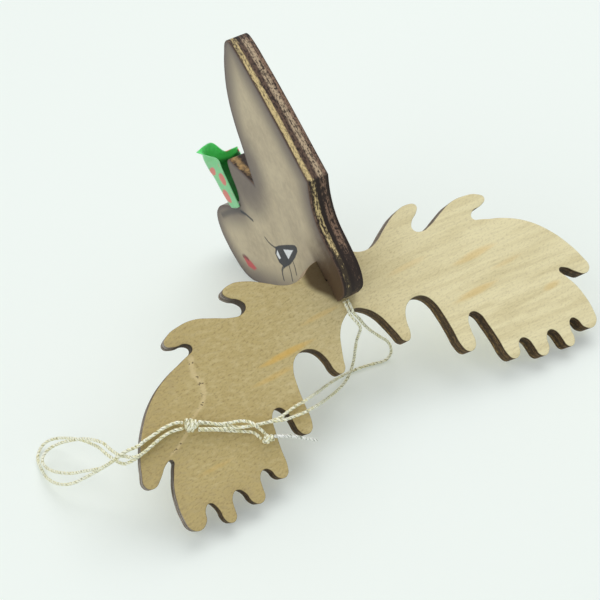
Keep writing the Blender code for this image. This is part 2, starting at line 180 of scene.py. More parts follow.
class Paint:
    """A material being mixed: one Principled shader and the nodes that feed it."""

    def __init__(self, name: str) -> None:
        """Start a material with a bare Principled shader."""
        self.material = bpy.data.materials.new(name)
        self.material.use_nodes = True
        self.tree = self.material.node_tree
        self.shader = self.tree.nodes["Principled BSDF"]

    def node(self, kind: str, settings: dict | None = None, sockets: dict | None = None) -> bpy.types.Node:
        """Add any node.

        Args:
            kind: the node's type.
            settings: its own settings, set first; stops are a ramp's (place, colour) rows, points a curve's.
            sockets: values or links of its inputs, by name or number.

        Returns:
            The node.
        """
        made = self.tree.nodes.new(kind)
        for name, setting in (settings or {}).items():
            if name == "stops":
                self.set_stops(made.color_ramp, setting)
            elif name == "points":
                self.set_points(made.mapping, setting)
            else:
                setattr(made, name, setting)
        for key, given in (sockets or {}).items():
            self.feed(made.inputs[key], given)
        return made

    @staticmethod
    def set_stops(ramp: bpy.types.ColorRamp, stops: tuple) -> None:
        """Give a colour ramp its stops."""
        while len(ramp.elements) < len(stops):
            ramp.elements.new(1.0)
        for element, (place, colour) in zip(ramp.elements, stops):
            element.position = place
            element.color = (*colour, 1.0)

    @staticmethod
    def set_points(mapping: bpy.types.CurveMapping, points: tuple) -> None:
        """Give a float curve its points."""
        curve = mapping.curves[0]
        while len(curve.points) < len(points):
            curve.points.new(0.5, 0.5)
        for point, place in zip(curve.points, points):
            point.location = place
        mapping.update()

    def feed(self, socket: Socket, given: object) -> None:
        """Link a socket to another, or set its value."""
        if isinstance(given, Value):
            given = given.socket
        if isinstance(given, Socket):
            self.tree.links.new(given, socket)
        elif isinstance(given, tuple) and len(given) == 3 and socket.type == "RGBA":
            socket.default_value = (*given, 1.0)
        else:
            socket.default_value = given

    def dressed(self, sockets: dict) -> Material:
        """Feed sockets of the shader, by name, and hand over the material."""
        for name, given in sockets.items():
            self.feed(self.shader.inputs[name], given)
        return self.material

    def value(self, kind: str, settings: dict | None = None, sockets: dict | None = None) -> Value:
        """Add a node and wrap its first output."""
        return Value(self, self.node(kind, settings, sockets).outputs[0])

    def attribute(self, name: str) -> bpy.types.Node:
        """Read one of the piece's own attributes."""
        return self.node("ShaderNodeAttribute", {"attribute_name": name})

    def number(self, name: str) -> Value:
        """Read an attribute that holds one number."""
        return Value(self, self.attribute(name).outputs["Fac"])

    def vector(self, name: str) -> Socket:
        """Read an attribute that holds a place."""
        return self.attribute(name).outputs["Vector"]

    def parts(self, vector: Socket) -> tuple[Value, Value, Value]:
        """Split a vector into its three numbers."""
        split = self.node("ShaderNodeSeparateXYZ", None, {0: vector})
        return tuple(Value(self, socket) for socket in split.outputs)

    def grain(self, vector: Socket, grain: Grain) -> Value:
        """Noise drawn out along the axes of a turned vector, about 0.5 on average."""
        turned = self.node("ShaderNodeMapping", {"vector_type": "POINT"},
                           {"Vector": vector, "Rotation": (0.0, 0.0, math.radians(grain.turn))})
        scaled = self.node("ShaderNodeMapping", {"vector_type": "POINT"},
                           {"Vector": turned.outputs[0], "Scale": grain.scale})
        return self.value("ShaderNodeTexNoise", None, {
            "Vector": scaled.outputs[0], "Scale": 1.0, "Detail": grain.detail, "Roughness": grain.rough})

    def mix(self, factor: Number, low: object, high: object) -> Socket:
        """Blend two colours."""
        blend = self.node("ShaderNodeMix", {"data_type": "RGBA"}, {0: factor, 6: low, 7: high})
        return blend.outputs[2]

    def coats(self, colour: object, *coats: tuple[Number, object]) -> object:
        """Lay coats over a colour in order, each a mask and its own colour."""
        for mask, coat in coats:
            colour = self.mix(mask, colour, coat)
        return colour

    def bump(self, height: Value, strength: float, distance: float) -> Socket:
        """Turn a height into a normal."""
        made = self.node("ShaderNodeBump", None,
                         {"Height": height, "Strength": strength, "Distance": distance})
        return made.outputs[0]

    @staticmethod
    def near_line(across: Value, up: Value, start: Point2, stop: Point2) -> Value:
        """Distance to a straight stroke: the offset left after the part along the stroke is taken away."""
        run = np.subtract(stop, start)
        share = run / float(run @ run)
        from_a = across - start[0]
        from_b = up - start[1]
        along = (from_a * float(share[0]) + from_b * float(share[1])).most(0.0).least(1.0)
        rest_a = from_a - along * float(run[0])
        rest_b = from_b - along * float(run[1])
        return (rest_a * rest_a + rest_b * rest_b) ** 0.5

    def near_path(self, across: Value, up: Value, points: tuple[Point2, ...]) -> Value:
        """Distance to a bent stroke: the least of its straight ones."""
        return reduce(Value.least, (self.near_line(across, up, *ends) for ends in zip(points, points[1:])))

    @staticmethod
    def outside(across: Value, up: Value, corners: tuple[Point2, ...]) -> Value:
        """How far outside a convex patch a place is: the most that it stands out past any of the sides."""
        runs = np.roll(corners, -1, axis=0) - corners
        normals = np.column_stack((runs[:, 1], -runs[:, 0])) / np.linalg.norm(runs, axis=1)[:, None]
        sides = np.column_stack((normals, (normals * corners).sum(axis=1))).tolist()
        return reduce(Value.most, (across * a + up * b - offset for a, b, offset in sides))

    @staticmethod
    def oval(across: Value, up: Value, middle: Point2, radii: Point2) -> Value:
        """Square of the distance from a middle, counted in radii."""
        return ((across - middle[0]) / radii[0]) ** 2.0 + ((up - middle[1]) / radii[1]) ** 2.0

    @staticmethod
    def zone(place: tuple[Value, ...], fades: tuple[Fade, ...]) -> Value:
        """A soft-edged zone: the product of fades, each an axis of the place, its start and its stop."""
        return reduce(Value.__mul__, (place[axis].ramp(start, stop) for axis, start, stop in fades))


@dataclass(frozen=True)
class Panel:
    """The antler board's frame, in millimetres: across the span, from tines to neck, and out of its face."""

    turn: np.ndarray
    origin: np.ndarray
    foremost_tine: float = -13.4

    @classmethod
    def from_frame(cls, frame: dict) -> "Panel":
        """Read the board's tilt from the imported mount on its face, and its place from its solid.


        Returns:
            The board's frame.
        """
        face = next(mount for mount in frame["record"]["mounts"] if mount["name"] == "antler_face")
        out = np.array(face["axis"], dtype=float)
        out /= np.linalg.norm(out)
        across = np.array((1.0, 0.0, 0.0))
        turn = np.column_stack((across, np.cross(out, across), out))
        points = node_corners(frame, "antlers").reshape(-1, 3) @ turn
        origin = np.array((0.0, points[:, 1].min() - cls.foremost_tine, points[:, 2].max()))
        return cls(turn, origin)

    def into(self, points: np.ndarray) -> np.ndarray:
        """Take points from the table's frame, in millimetres, into the board's."""
        return points @ self.turn - self.origin

    def out(self, points: np.ndarray) -> np.ndarray:
        """Take points from the board's frame to the table's, in metres."""
        return (points + self.origin) @ self.turn.T * MM


def node_corners(frame: dict, node: str) -> np.ndarray:
    """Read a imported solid's triangles.

    Args:
        node: the solid's name.

    Returns:
        Corners of each triangle, in millimetres, as an array of triangle by corner by axis.
    """
    mesh = frame["nodes"][node].data
    mesh.calc_loop_triangles()
    points = np.empty(len(mesh.vertices) * 3)
    mesh.vertices.foreach_get("co", points)
    corners = np.empty(len(mesh.loop_triangles) * 3, dtype=int)
    mesh.loop_triangles.foreach_get("vertices", corners)
    return points.reshape(-1, 3)[corners].reshape(-1, 3, 3) / MM


def add_piece(name: str, points: np.ndarray, faces: list, finishes: list[Material]) -> Piece:
    """Make one smooth-shaded mesh object that rides on the ornament.

    Args:
        name: the piece's name.
        points: vertices in metres, in the table's frame.
        faces: vertex numbers of each face.
        finishes: its materials.

    Returns:
        The object.
    """
    mesh = bpy.data.meshes.new(name)
    mesh.from_pydata(points, [], faces)
    mesh.shade_smooth()
    piece = bpy.data.objects.new(name, mesh)
    bpy.context.scene.collection.objects.link(piece)
    for finish in finishes:
        mesh.materials.append(finish)
    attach(piece, "root")
    LOG.info("%s: %d faces", name, len(faces))
    return piece


def add_attribute(piece: Piece, name: str, values: np.ndarray) -> None:
    """Store numbers or vectors on a piece's vertices."""
    kind, field = ("FLOAT_VECTOR", "vector") if values.ndim == 2 else ("FLOAT", "value")
    layer = piece.data.attributes.new(name, kind, "POINT")
    layer.data.foreach_set(field, np.ascontiguousarray(values, dtype=np.float32).ravel())


def segment_distance(points: np.ndarray, loop: np.ndarray) -> np.ndarray:
    """Distance from each point to a closed outline, the least over its straight sides.

    Args:
        points: places, one per row.
        loop: the outline's corners in order.

    Returns:
        One distance per place.
    """
    start = loop[None, :, :]
    run = np.roll(loop, -1, axis=0)[None, :, :] - start
    from_start = points[:, None, :] - start
    along = np.clip((from_start * run).sum(2) / (run * run).sum(2), 0.0, 1.0)
    return np.linalg.norm(from_start - along[:, :, None] * run, axis=2).min(axis=1)


def enclosed(points: np.ndarray, loop: np.ndarray) -> np.ndarray:
    """Tell which points lie in a closed outline: those that a ray crosses an odd number of sides from.

    Args:
        points: places, one per row.
        loop: the outline's corners in order.

    Returns:
        True for each place inside.
    """
    after = np.roll(loop, -1, axis=0)
    x, y = points[:, :1], points[:, 1:]
    spans = (loop[:, 1] > y) != (after[:, 1] > y)
    rise = np.where(after[:, 1] == loop[:, 1], 1.0, after[:, 1] - loop[:, 1])
    crossing = loop[:, 0] + (y - loop[:, 1]) * (after[:, 0] - loop[:, 0]) / rise
    return (spans & (x < crossing)).sum(axis=1) % 2 == 1


def run_along(path: np.ndarray) -> np.ndarray:
    """Length of a path up to each of its points."""
    return np.concatenate(((0.0,), np.cumsum(np.linalg.norm(np.diff(path, axis=0), axis=1))))


def quads(number: np.ndarray, closed: bool = True) -> np.ndarray:
    """Join a grid of vertex numbers into four-sided faces, from each row to the next.

    Args:
        number: vertex numbers by row and column.
        closed: whether the last column meets the first.

    Returns:
        Four vertex numbers for each face.
    """
    after = np.roll(number, -1, axis=1)
    last = None if closed else -1
    number, after = number[:, :last], after[:, :last]
    return np.stack((number[:-1], number[1:], after[1:], after[:-1]), axis=2).reshape(-1, 4)


def catmull_rom(count: int, samples: int) -> np.ndarray:
    """Catmull-Rom weights of evenly spaced places on a row of points, with a ghost point past each end.

    Args:
        count: points in the row.
        samples: places wanted.

    Returns:
        One row of weights for each place.
    """
    run = np.linspace(0.0, count - 1.0, samples)
    cell = np.minimum(run.astype(int), count - 2)
    t = run - cell
    basis = np.column_stack((-t + 2 * t ** 2 - t ** 3, 2 - 5 * t ** 2 + 3 * t ** 3,
                             t + 4 * t ** 2 - 3 * t ** 3, t ** 3 - t ** 2)) / 2
    spread = np.zeros((samples, count + 2))
    spread[np.arange(samples)[:, None], cell[:, None] + np.arange(4)] = basis
    inner = spread[:, 1:-1].copy()
    for end, beside in ((0, 1), (-1, -2)):
        inner[:, end] += 2 * spread[:, end]
        inner[:, beside] -= spread[:, end]
    return inner


@dataclass
class Board:
    """One flat-cut plywood board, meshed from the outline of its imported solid.

    Attributes:
        node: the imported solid.
        axes: the panel axes that run along, up and through the board.
        cut_round: radius of the softened cut edge, in millimetres.
        outline_step: spacing of points along the cut edge.
        least_step: share of that spacing under which two points become one.
        grid_step: spacing of points inside the faces.
        rim_clearance: share of that spacing that those points keep from the rim.
        corner_turn: a turn of the outline sharper than this, in degrees, stays a corner.
        shade_turn: faces that meet at more than this, in degrees, are shaded with an edge between them.
        snug: half-width of a slot that is drawn pressed against the board in it, or 0.
        fit: the slot's slack on each side.
        slot_from: where the slot begins, up the board.
        round_rows: rows of points round a softened edge.
        wall_rows: rows of points down the cut edge.
        level: heights closer than this lie on one face.
        weld_digits: decimals to which corners are rounded, so that those of neighbours become one.
    """

    node: str
    axes: tuple[int, int, int]
    cut_round: float = 0.16
    outline_step: float = 0.3
    least_step: float = 0.1
    grid_step: float = 0.9
    rim_clearance: float = 0.5
    corner_turn: float = 50.0
    shade_turn: float = 40.0
    snug: float = 0.0
    fit: float = 0.35
    slot_from: float = 16.0
    round_rows: int = 4
    wall_rows: int = 7
    level: float = 0.01
    weld_digits: int = 4

    def outline(self, corners: np.ndarray, top: float) -> np.ndarray:
        """Follow the rim of the solid's upper face: sides of its triangles that no other triangle shares.

        Args:
            corners: the solid's triangles on the board's own axes.
            top: height of the upper face.

        Returns:
            The rim's corners in order, counter-clockwise seen from above.
        """
        flat = (np.abs(corners[:, :, 2] - top) < self.level).all(axis=1)
        on_top = np.round(corners[flat][:, :, :2].reshape(-1, 2), self.weld_digits)
        places, numbers = np.unique(on_top, axis=0, return_inverse=True)
        triangles = numbers.reshape(-1, 3)
        sides = np.vstack((triangles[:, :2], triangles[:, 1:], triangles[:, [2, 0]]))
        count = len(places)
        alone = ~np.isin(sides[:, 0] * count + sides[:, 1], sides[:, 1] * count + sides[:, 0])
        rim = sides[alone]
        following = np.arange(count)
        following[rim[:, 0]] = rim[:, 1]
        first = rim[0, 0]
        hop = np.where(following == first, np.arange(count), following)
        left = (hop != np.arange(count)).astype(int)
        for _ in range(count.bit_length()):
            left = left + left[hop]
            hop = hop[hop]
        on_rim = np.unique(rim[:, 0])
        return places[on_rim[np.argsort(-left[on_rim], kind="stable")]]

    def smoothed(self, loop: np.ndarray) -> np.ndarray:
        """Lay an evenly stepped Hermite curve through a rim, with its sharp corners kept.

        Args:
            loop: the rim's corners.

        Returns:
            Points along the smooth rim.
        """
        ahead = np.roll(loop, -1, axis=0) - loop
        length = np.linalg.norm(ahead, axis=1)
        way = ahead / length[:, None]
        back_way = np.roll(way, 1, axis=0)
        sharp = (way * back_way).sum(1) < math.cos(math.radians(self.corner_turn))
        both = way + back_way
        both /= np.maximum(np.linalg.norm(both, axis=1), TOUCHING)[:, None]
        leaving = np.where(sharp[:, None], way, both) * length[:, None]
        arriving = np.roll(np.where(sharp[:, None], back_way, both), -1, axis=0) * length[:, None]
        steps = np.maximum(1, np.ceil(length / self.outline_step)).astype(int)
        side = np.repeat(np.arange(len(loop)), steps)
        t = ((np.arange(steps.sum()) - np.repeat(np.cumsum(steps) - steps, steps)) / steps[side])[:, None]
        stop = np.roll(loop, -1, axis=0)
        return ((2 * t ** 3 - 3 * t ** 2 + 1) * loop[side] + (t ** 3 - 2 * t ** 2 + t) * leaving[side]
                + (3 * t ** 2 - 2 * t ** 3) * stop[side] + (t ** 3 - t ** 2) * arriving[side])

    def inner_grid(self, loop: np.ndarray) -> np.ndarray:
        """Staggered rows of points inside a rim, clear of it."""
        low, high = loop.min(axis=0), loop.max(axis=0)
        across, up = np.meshgrid(*(np.arange(low[axis], high[axis], self.grid_step) for axis in (0, 1)))
        across = across + (np.arange(len(across)) % 2)[:, None] * self.grid_step / 2
        places = np.column_stack((across.ravel(), up.ravel()))
        places = places[enclosed(places, loop)]
        return places[segment_distance(places, loop) > self.rim_clearance * self.grid_step]

    def profile(self, top: float, bottom: float) -> np.ndarray:
        """Section of the cut edge as (inset, height): a quarter round, the wall and a quarter round."""
        turn = np.linspace(0.0, math.pi / 2, self.round_rows)
        inset = self.cut_round * (1 - np.sin(turn))
        drop = self.cut_round * (1 - np.cos(turn))
        wall = np.linspace(top - self.cut_round, bottom + self.cut_round, self.wall_rows)[1:-1]
        upper = np.column_stack((inset, top - drop))
        lower = np.column_stack((inset, bottom + drop))[::-1]
        return np.vstack((upper, np.column_stack((np.zeros(len(wall)), wall)), lower))

    def pressed(self, rim: np.ndarray) -> np.ndarray:
        """Bring a slot's walls against the board in it, and make points that crowd each other one."""
        reach = np.abs(rim[:, 0]) - self.snug
        beside = (reach > 0) & (reach < self.fit) & (rim[:, 1] > self.slot_from) & (self.snug > 0)
        rim[beside, 0] = np.sign(rim[beside, 0]) * self.snug
        step = np.linalg.norm(rim - np.roll(rim, 1, axis=0), axis=1)
        return rim[step > self.least_step * self.outline_step]

    def face(self, rim: np.ndarray) -> tuple[np.ndarray, np.ndarray, np.ndarray]:
        """Triangulate a face inside its rim, over a grid of points.

        Args:
            rim: the face's rim.

        Returns:
            The face's points, its triangles, and the number of each rim point among the points.
        """
        flat = np.vstack((rim, self.inner_grid(rim)))
        order = np.arange(len(rim))
        sides = np.column_stack((order, np.roll(order, -1)))
        found = delaunay_2d_cdt([Vector(place) for place in flat], sides.tolist(), [],
                                INNER_TRIANGLES, TOUCHING)
        places = np.array([tuple(place) for place in found[0]])
        merged = [len(ids) for ids in found[3]]
        number = np.zeros(len(flat), dtype=int)
        number[np.concatenate(found[3]).astype(int)] = np.repeat(np.arange(len(places)), merged)
        return places, np.array(found[2]), number[:len(rim)]

    def build(self, frame: dict, panel: Panel, finish: Material) -> Piece:
        """Mesh the board: two triangulated faces joined by the section carried round the rim.

        Args:
            panel: the antler board's frame.
            finish: its material.

        Returns:
            The board, in place of its solid.
        """
        corners = panel.into(node_corners(frame, self.node).reshape(-1, 3))[:, self.axes].reshape(-1, 3, 3)
        bottom, top = corners[:, :, 2].min(), corners[:, :, 2].max()
        rim = self.pressed(self.smoothed(self.outline(corners, top)))
        way = np.roll(rim, -1, axis=0) - np.roll(rim, 1, axis=0)
        inward = np.column_stack((-way[:, 1], way[:, 0])) / np.linalg.norm(way, axis=1)[:, None]
        section = self.profile(top, bottom)
        places, triangles, number = self.face(rim + inward * self.cut_round)
        count, amount, rows = len(rim), len(places), len(section) - 2
        middle = 2 * amount + np.arange(rows * count).reshape(rows, count)
        walls = quads(np.vstack((number, middle, amount + number)))
        edge_points = np.concatenate([np.column_stack((rim + inward * inset, np.full(count, height)))
                                      for inset, height in section[1:-1]])
        points = np.vstack((np.column_stack((places, np.full(amount, top))),
                            np.column_stack((places, np.full(amount, bottom))), edge_points))
        on_panel = np.empty_like(points)
        on_panel[:, self.axes] = points
        faces = triangles.tolist() + (triangles[:, ::-1] + amount).tolist() + walls.tolist()
        piece = add_piece(self.node + "_board", panel.out(on_panel), faces, [finish])
        piece.data.set_sharp_from_angle(angle=math.radians(self.shade_turn))
        to_rim = segment_distance(places, rim)
        bare = np.linspace(0.0, 1.0, self.round_rows - 1)
        cut = np.concatenate((bare, np.ones(len(section) - 2 * self.round_rows), bare[::-1]))
        run = np.cumsum(np.linalg.norm(np.roll(rim, -1, axis=0) - rim, axis=1))
        on_wall = np.column_stack((np.tile(run, rows), edge_points[:, 2], np.tile(-inward[:, 0], rows)))
        add_attribute(piece, "board_place", points)
        add_attribute(piece, "rim", np.concatenate((to_rim, to_rim, np.zeros(len(edge_points)))))
        add_attribute(piece, "cut", np.concatenate((np.zeros(2 * amount), np.repeat(cut, count))))
        add_attribute(piece, "cut_place", np.vstack((np.zeros((2 * amount, 3)), on_wall)))
        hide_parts(self.node)
        return piece


@dataclass(frozen=True)
class CutEdge:
    """The laser-cut edge of plywood: scorched outer plies, paler plies between them, and char over all.

    Attributes:
        thickness: of the board, in millimetres.
        clean: the plies through the thickness where the cut is clean: share of the way and colour.
        burnt: the same where it is burnt.
        grains: noises on the wall: wander of the plies, streaks, specks, patches and grit.
    """

    thickness: float = 4.0
    scorched: Colour = srgb(42, 32, 28)
    umber: Colour = srgb(138, 111, 92)
    walnut: Colour = srgb(98, 77, 64)
    gold: Colour = srgb(215, 192, 138)
    hazel: Colour = srgb(190, 168, 139)
    lit_ash: Colour = srgb(186, 176, 168)
    clean: tuple[tuple[float, str], ...] = (
        (0.03, "scorched"), (0.08, "gold"), (0.25, "gold"), (0.31, "walnut"), (0.5, "walnut"),
        (0.57, "hazel"), (0.75, "hazel"), (0.82, "umber"), (0.93, "umber"), (0.98, "scorched"))
    burnt: tuple[tuple[float, str], ...] = (
        (0.04, "umber"), (0.12, "scorched"), (0.18, "gold"), (0.33, "gold"), (0.4, "scorched"),
        (0.52, "scorched"), (0.6, "umber"), (0.8, "umber"), (0.9, "scorched"))
    grains: tuple[Grain, ...] = (
        Grain((0.12, 0.5, 0.0), detail=2.0), Grain((0.2, 3.6, 0.0), detail=4.0, rough=0.65),
        Grain((1.3, 2.6, 0.0), rough=0.6), Grain((0.28, 0.4, 0.0)), Grain((1.9, 3.4, 0.0), detail=2.0))

    def plies(self, paint: Paint, share: Value, stops: tuple[tuple[float, str], ...]) -> Socket:
        """Colours of the plies from one face to the other."""
        colours = tuple((place, getattr(self, ply)) for place, ply in stops)
        return paint.node("ShaderNodeValToRGB", {"stops": colours}, {0: share}).outputs[0]

    def colour(self, paint: Paint, low: float, worn: Number, char: Number, ash_and_light: Number) -> Socket:
        """Colour of the wall: plies through the thickness, streaked along the cut and charred in patches.

        Args:
            paint: the material being mixed.
            low: depth of the board's lower face.
            worn: how far the plies are burnt, from clean to burnt.
            char: how much of the wall is charred.
            ash_and_light: how much of it is pale grey, from ashy wear and painted light.

        Returns:
            The colour.
        """
        wall = paint.vector("cut_place")
        depth = paint.parts(wall)[1]
        wander, streak, speck, patch, grit = (paint.grain(wall, grain) for grain in self.grains)
        share = (depth - low) / self.thickness + (wander - 0.5) * 0.1
        rough = (share.ramp(0.26, 0.32) * 0.4).most(worn * 0.4) + 0.6
        spots = (streak - 0.5) * 3.2 + (speck - 0.5) * 3.6
        dark = char + rough * 0.12 + spots * rough + (patch - 0.5) * 0.8
        return paint.coats(
            self.plies(paint, share, self.clean),
            (worn, self.plies(paint, share, self.burnt)),
            (dark.ramp(0.1, 0.9) * 0.95, self.scorched),
            (grit.ramp(0.48, 0.38) * rough * 0.7, self.scorched),
            # pale grey coat: ashy wear, and painted light on walls that face the left
            (ash_and_light * streak.ramp(0.55, 0.41), self.lit_ash))


@dataclass(frozen=True)
class BarePlywood:
    """Bare pale plywood: fine grain along the span, resin streaks, a pale mended seam and a brown lap stain;
    painted light pales the right palm and the walls facing the left, and painted shade darkens the lap and the
    hollows.

    Attributes:
        grains: noises on the face: clouds, bands, hairs, flecks and mottling.
        painted_light_span: where across the wood goes from honey to pale: painted light, paler towards the
            right palm where the light falls.
        toast_zone: where across the rim the wood is browned by toasting.
        upper_face: the depths between which a mark of the upper face fades in.
        resin_streaks: each one's middle across and up, half-length, half-width and strength.
        streak_lean: rise of a streak along the span.
        seam_line: the mended seam, as places up and across.
        seam_grains: noises along it: its ragged edge and its pits.
        seam_span: the lowest and highest place across that the seam may take.
        seam_fade: length over which the seam's ends fade, each way.
        hollows: the hollows under the curls, across and up, where painted shade darkens the wall as char.
        hollow_shade_fade: distances from them over which that painted shade comes in.
        outer_rims: where up and where across the outer rim begins.
        neck: the rubbed neck, on the distance from the middle and up.
        head_side: the head's near side, across.
        stain_shadow_width: width of the lap stain and painted shadow beside the head, at its narrow end and
            its broad one.
        stain_shadow_widens: where up it widens, and stain_shadow_zone where it lies.
    """

    pale: Colour = srgb(243, 231, 187)
    honey: Colour = srgb(196, 176, 121)
    fibre: Colour = srgb(142, 116, 72)
    resin: Colour = srgb(226, 180, 82)
    toasted_and_shadow: Colour = srgb(74, 54, 30)
    seam: Colour = srgb(226, 206, 158)
    rubbed: Colour = srgb(190, 164, 132)
    grains: tuple[Grain, ...] = (
        Grain((0.05, 0.12, 0.1)), Grain((0.05, 0.55, 0.1), 3.0, 4.0), Grain((0.2, 2.4, 0.5), 3.0, 4.0, 0.7),
        Grain((1.7, 3.2, 0.5), -12.0, 3.0, 0.65), Grain((0.7, 1.5, 0.5), 12.0, 4.0))
    painted_light_span: Point2 = (-24.0, 24.0)
    toast_zone: Point2 = (-22.0, -34.0)
    upper_face: Point2 = (-0.6, -0.3)
    resin_streaks: tuple[tuple[float, ...], ...] = (
        (25.9, 9.5, 5.5, 0.9, 0.38), (22.9, 3.3, 5.5, 0.9, 0.38), (37.0, -1.8, 2.3, 0.8, 0.34),
        (-14.5, 8.0, 6.0, 0.75, 0.66), (-6.0, 11.5, 4.5, 0.6, 0.3), (-18.0, 5.4, 5.0, 0.6, 0.34),
        (31.0, 5.8, 4.0, 0.6, 0.2), (13.0, 12.8, 5.0, 0.7, 0.2), (-34.0, -4.0, 4.0, 0.5, 0.2))
    streak_lean: float = 0.03
    seam_line: tuple[Point2, ...] = (
        (1.0, -40.0), (3.0, -36.2), (5.0, -33.9), (6.6, -31.4), (9.0, -30.1), (12.0, -30.5), (14.5, -29.6))
    seam_grains: tuple[Grain, ...] = (Grain((1.3, 1.3, 1.3)), Grain((1.6, 1.6, 1.6), detail=2.0))
    seam_span: Point2 = (-44.0, -26.0)
    seam_fade: float = 0.4
    hollows: tuple[Point2, ...] = ((17.3, 18.8), (28.7, 16.1))
    hollow_shade_fade: Point2 = (3.4, 1.4)
    outer_rims: tuple[Point2, Point2] = ((12.0, 16.0), (-37.0, -42.0))
    neck: tuple[Fade, ...] = ((ALONG, 9.0, 7.6), (UP, 16.8, 17.6))
    head_side: float = -2.0
    stain_shadow_width: Point2 = (0.2, 3.5)
    stain_shadow_widens: Point2 = (12.0, 17.5)
    stain_shadow_zone: tuple[Fade, ...] = ((ALONG, 1.5, -1.5), (UP, 11.6, 13.0))

    def material(self, edge: CutEdge) -> Material:
        """Mix the finish.

        Args:
            edge: the finish of the cut edge.

        Returns:
            The material.
        """
        paint = Paint("bare_plywood")
        place = paint.vector("board_place")
        across, up, depth = paint.parts(place)
        cloud, band, hair, fleck, mottle = (paint.grain(place, grain) for grain in self.grains)
        # painted light: the wood is paler towards the right palm, where the light falls, and darker towards
        # the left
        painted_light_side = (across + (cloud - 0.5) * 30.0 + (band - 0.5) * 16.0).ramp(*self.painted_light_span)
        fibres = hair.ramp(0.42, 0.74) * 0.16 + fleck.ramp(0.48, 0.7) * (0.5 - painted_light_side * 0.3)
        toast = paint.number("rim").ramp(4.0, 0.0) * across.ramp(*self.toast_zone) * mottle.ramp(0.4, 0.65)
        upper = depth.ramp(*self.upper_face)
        seam, pits = self.mended_seam(paint, place, across, up)
        # the lap stain is partly painted shadow, cast by the head onto the upper face
        stain = self.lap_stain_and_shadow(paint, across, up, cloud + fleck * 0.4)
        colour = paint.coats(
            self.honey,
            (painted_light_side, self.pale),
            (band.ramp(0.4, 0.66) * 0.34, self.honey),
            (fibres, self.fibre),
            (mottle.ramp(0.42, 0.7) * 0.18, self.pale),
            (toast * 0.4, self.fibre),
            (self.streaks(paint, across, up, hair) * upper, self.resin),
            (seam * upper * 0.55, self.seam),
            # dark pits along the seam, and the lap stain with the head's painted shadow
            (pits.most(stain) * upper, self.toasted_and_shadow),
            (paint.number("cut"), self.wall(paint, edge, across, up, mottle)))
        height = hair * 0.6 + mottle * 0.3 + fleck * 0.3
        return paint.dressed({"Base Color": colour, "Roughness": 0.62 + band * 0.2,
                              "Specular IOR Level": 0.3, "Normal": paint.bump(height, 0.25, WOOD_RELIEF)})

    def wall(self, paint: Paint, edge: CutEdge, across: Value, up: Value, mottle: Value) -> Socket:
        """Colour of the cut edge: pale ashy grey on curls and outer rim where the walls face the left, partly
        painted light; char and painted shade in the hollows; rubbed at the neck.
        """
        facing = paint.parts(paint.vector("cut_place"))[2]
        # painted shade: the walls in the hollows under the curls are charred darker, standing in for the shade
        # there
        ways = (paint.oval(abs(across), up, middle, (1.0, 1.0)) ** 0.5 for middle in self.hollows)
        hollow_shade = reduce(Value.most, (way.ramp(*self.hollow_shade_fade) for way in ways))
        outer = up.ramp(*self.outer_rims[0]).most(across.ramp(*self.outer_rims[1]))
        # pale ashy grey on the outer rim, kept to walls that face the left: worn ash, and painted light
        # falling from that side
        ash_and_light = facing.ramp(-0.1, -0.6) * outer * (0.9 - hollow_shade * 0.75)
        neck = paint.zone((abs(across), up), self.neck)
        return paint.coats(edge.colour(paint, -edge.thickness, 0.3, 0.55 + hollow_shade * 0.35, ash_and_light),
                           (neck * (0.5 + mottle * 0.6), self.rubbed))

    def streaks(self, paint: Paint, across: Value, up: Value, hair: Value) -> Value:
        """Resin streaks: soft long ovals, ragged by the grain."""
        ovals = []
        for middle, height, length, width, strength in self.resin_streaks:
            level = up - (across - middle) * self.streak_lean
            oval = paint.oval(across, level, (middle, height), (length, width)) + (hair - 0.5) * 0.9
            ovals.append(oval.ramp(1.1, -0.1) * strength)
        return reduce(Value.most, ovals)

    def lap_stain_and_shadow(self, paint: Paint, across: Value, up: Value, cloud: Value) -> Value:
        """Brown stain and painted shadow of the head on the upper face beside it: a wedge that widens towards
        the neck.
        """
        narrow, broad = self.stain_shadow_width
        reach = up.ramp(*self.stain_shadow_widens) * (broad - narrow) + narrow
        past = (self.head_side - across) - reach + (cloud - 0.7) * 1.2
        return past.ramp(0.8, -0.9) * paint.zone((across, up), self.stain_shadow_zone) * 0.9

    def mended_seam(self, paint: Paint, place: Socket, across: Value, up: Value) -> tuple[Value, Value]:
        """A pale seam that wanders down one palm, and the dark pits along it."""
        low, high = self.seam_span
        foot, head = self.seam_line[0][0], self.seam_line[-1][0]
        points = tuple(((y - foot) / (head - foot), (x - low) / (high - low)) for y, x in self.seam_line)
        height = (up - foot) / (head - foot)
        line = paint.value("ShaderNodeFloatCurve", {"points": points}, {"Value": height})
        ragged, pitted = (paint.grain(place, grain) for grain in self.seam_grains)
        off = abs(across - (line * (high - low) + low) + (ragged - 0.5) * 1.1)
        fade = self.seam_fade
        within = up.ramp(foot - fade, foot + fade) * up.ramp(head + fade, head - fade)
        pits = pitted.ramp(0.6, 0.65) * off.ramp(0.7, 0.2) * within
        return off.ramp(0.8, 0.15) * within, pits * 0.8


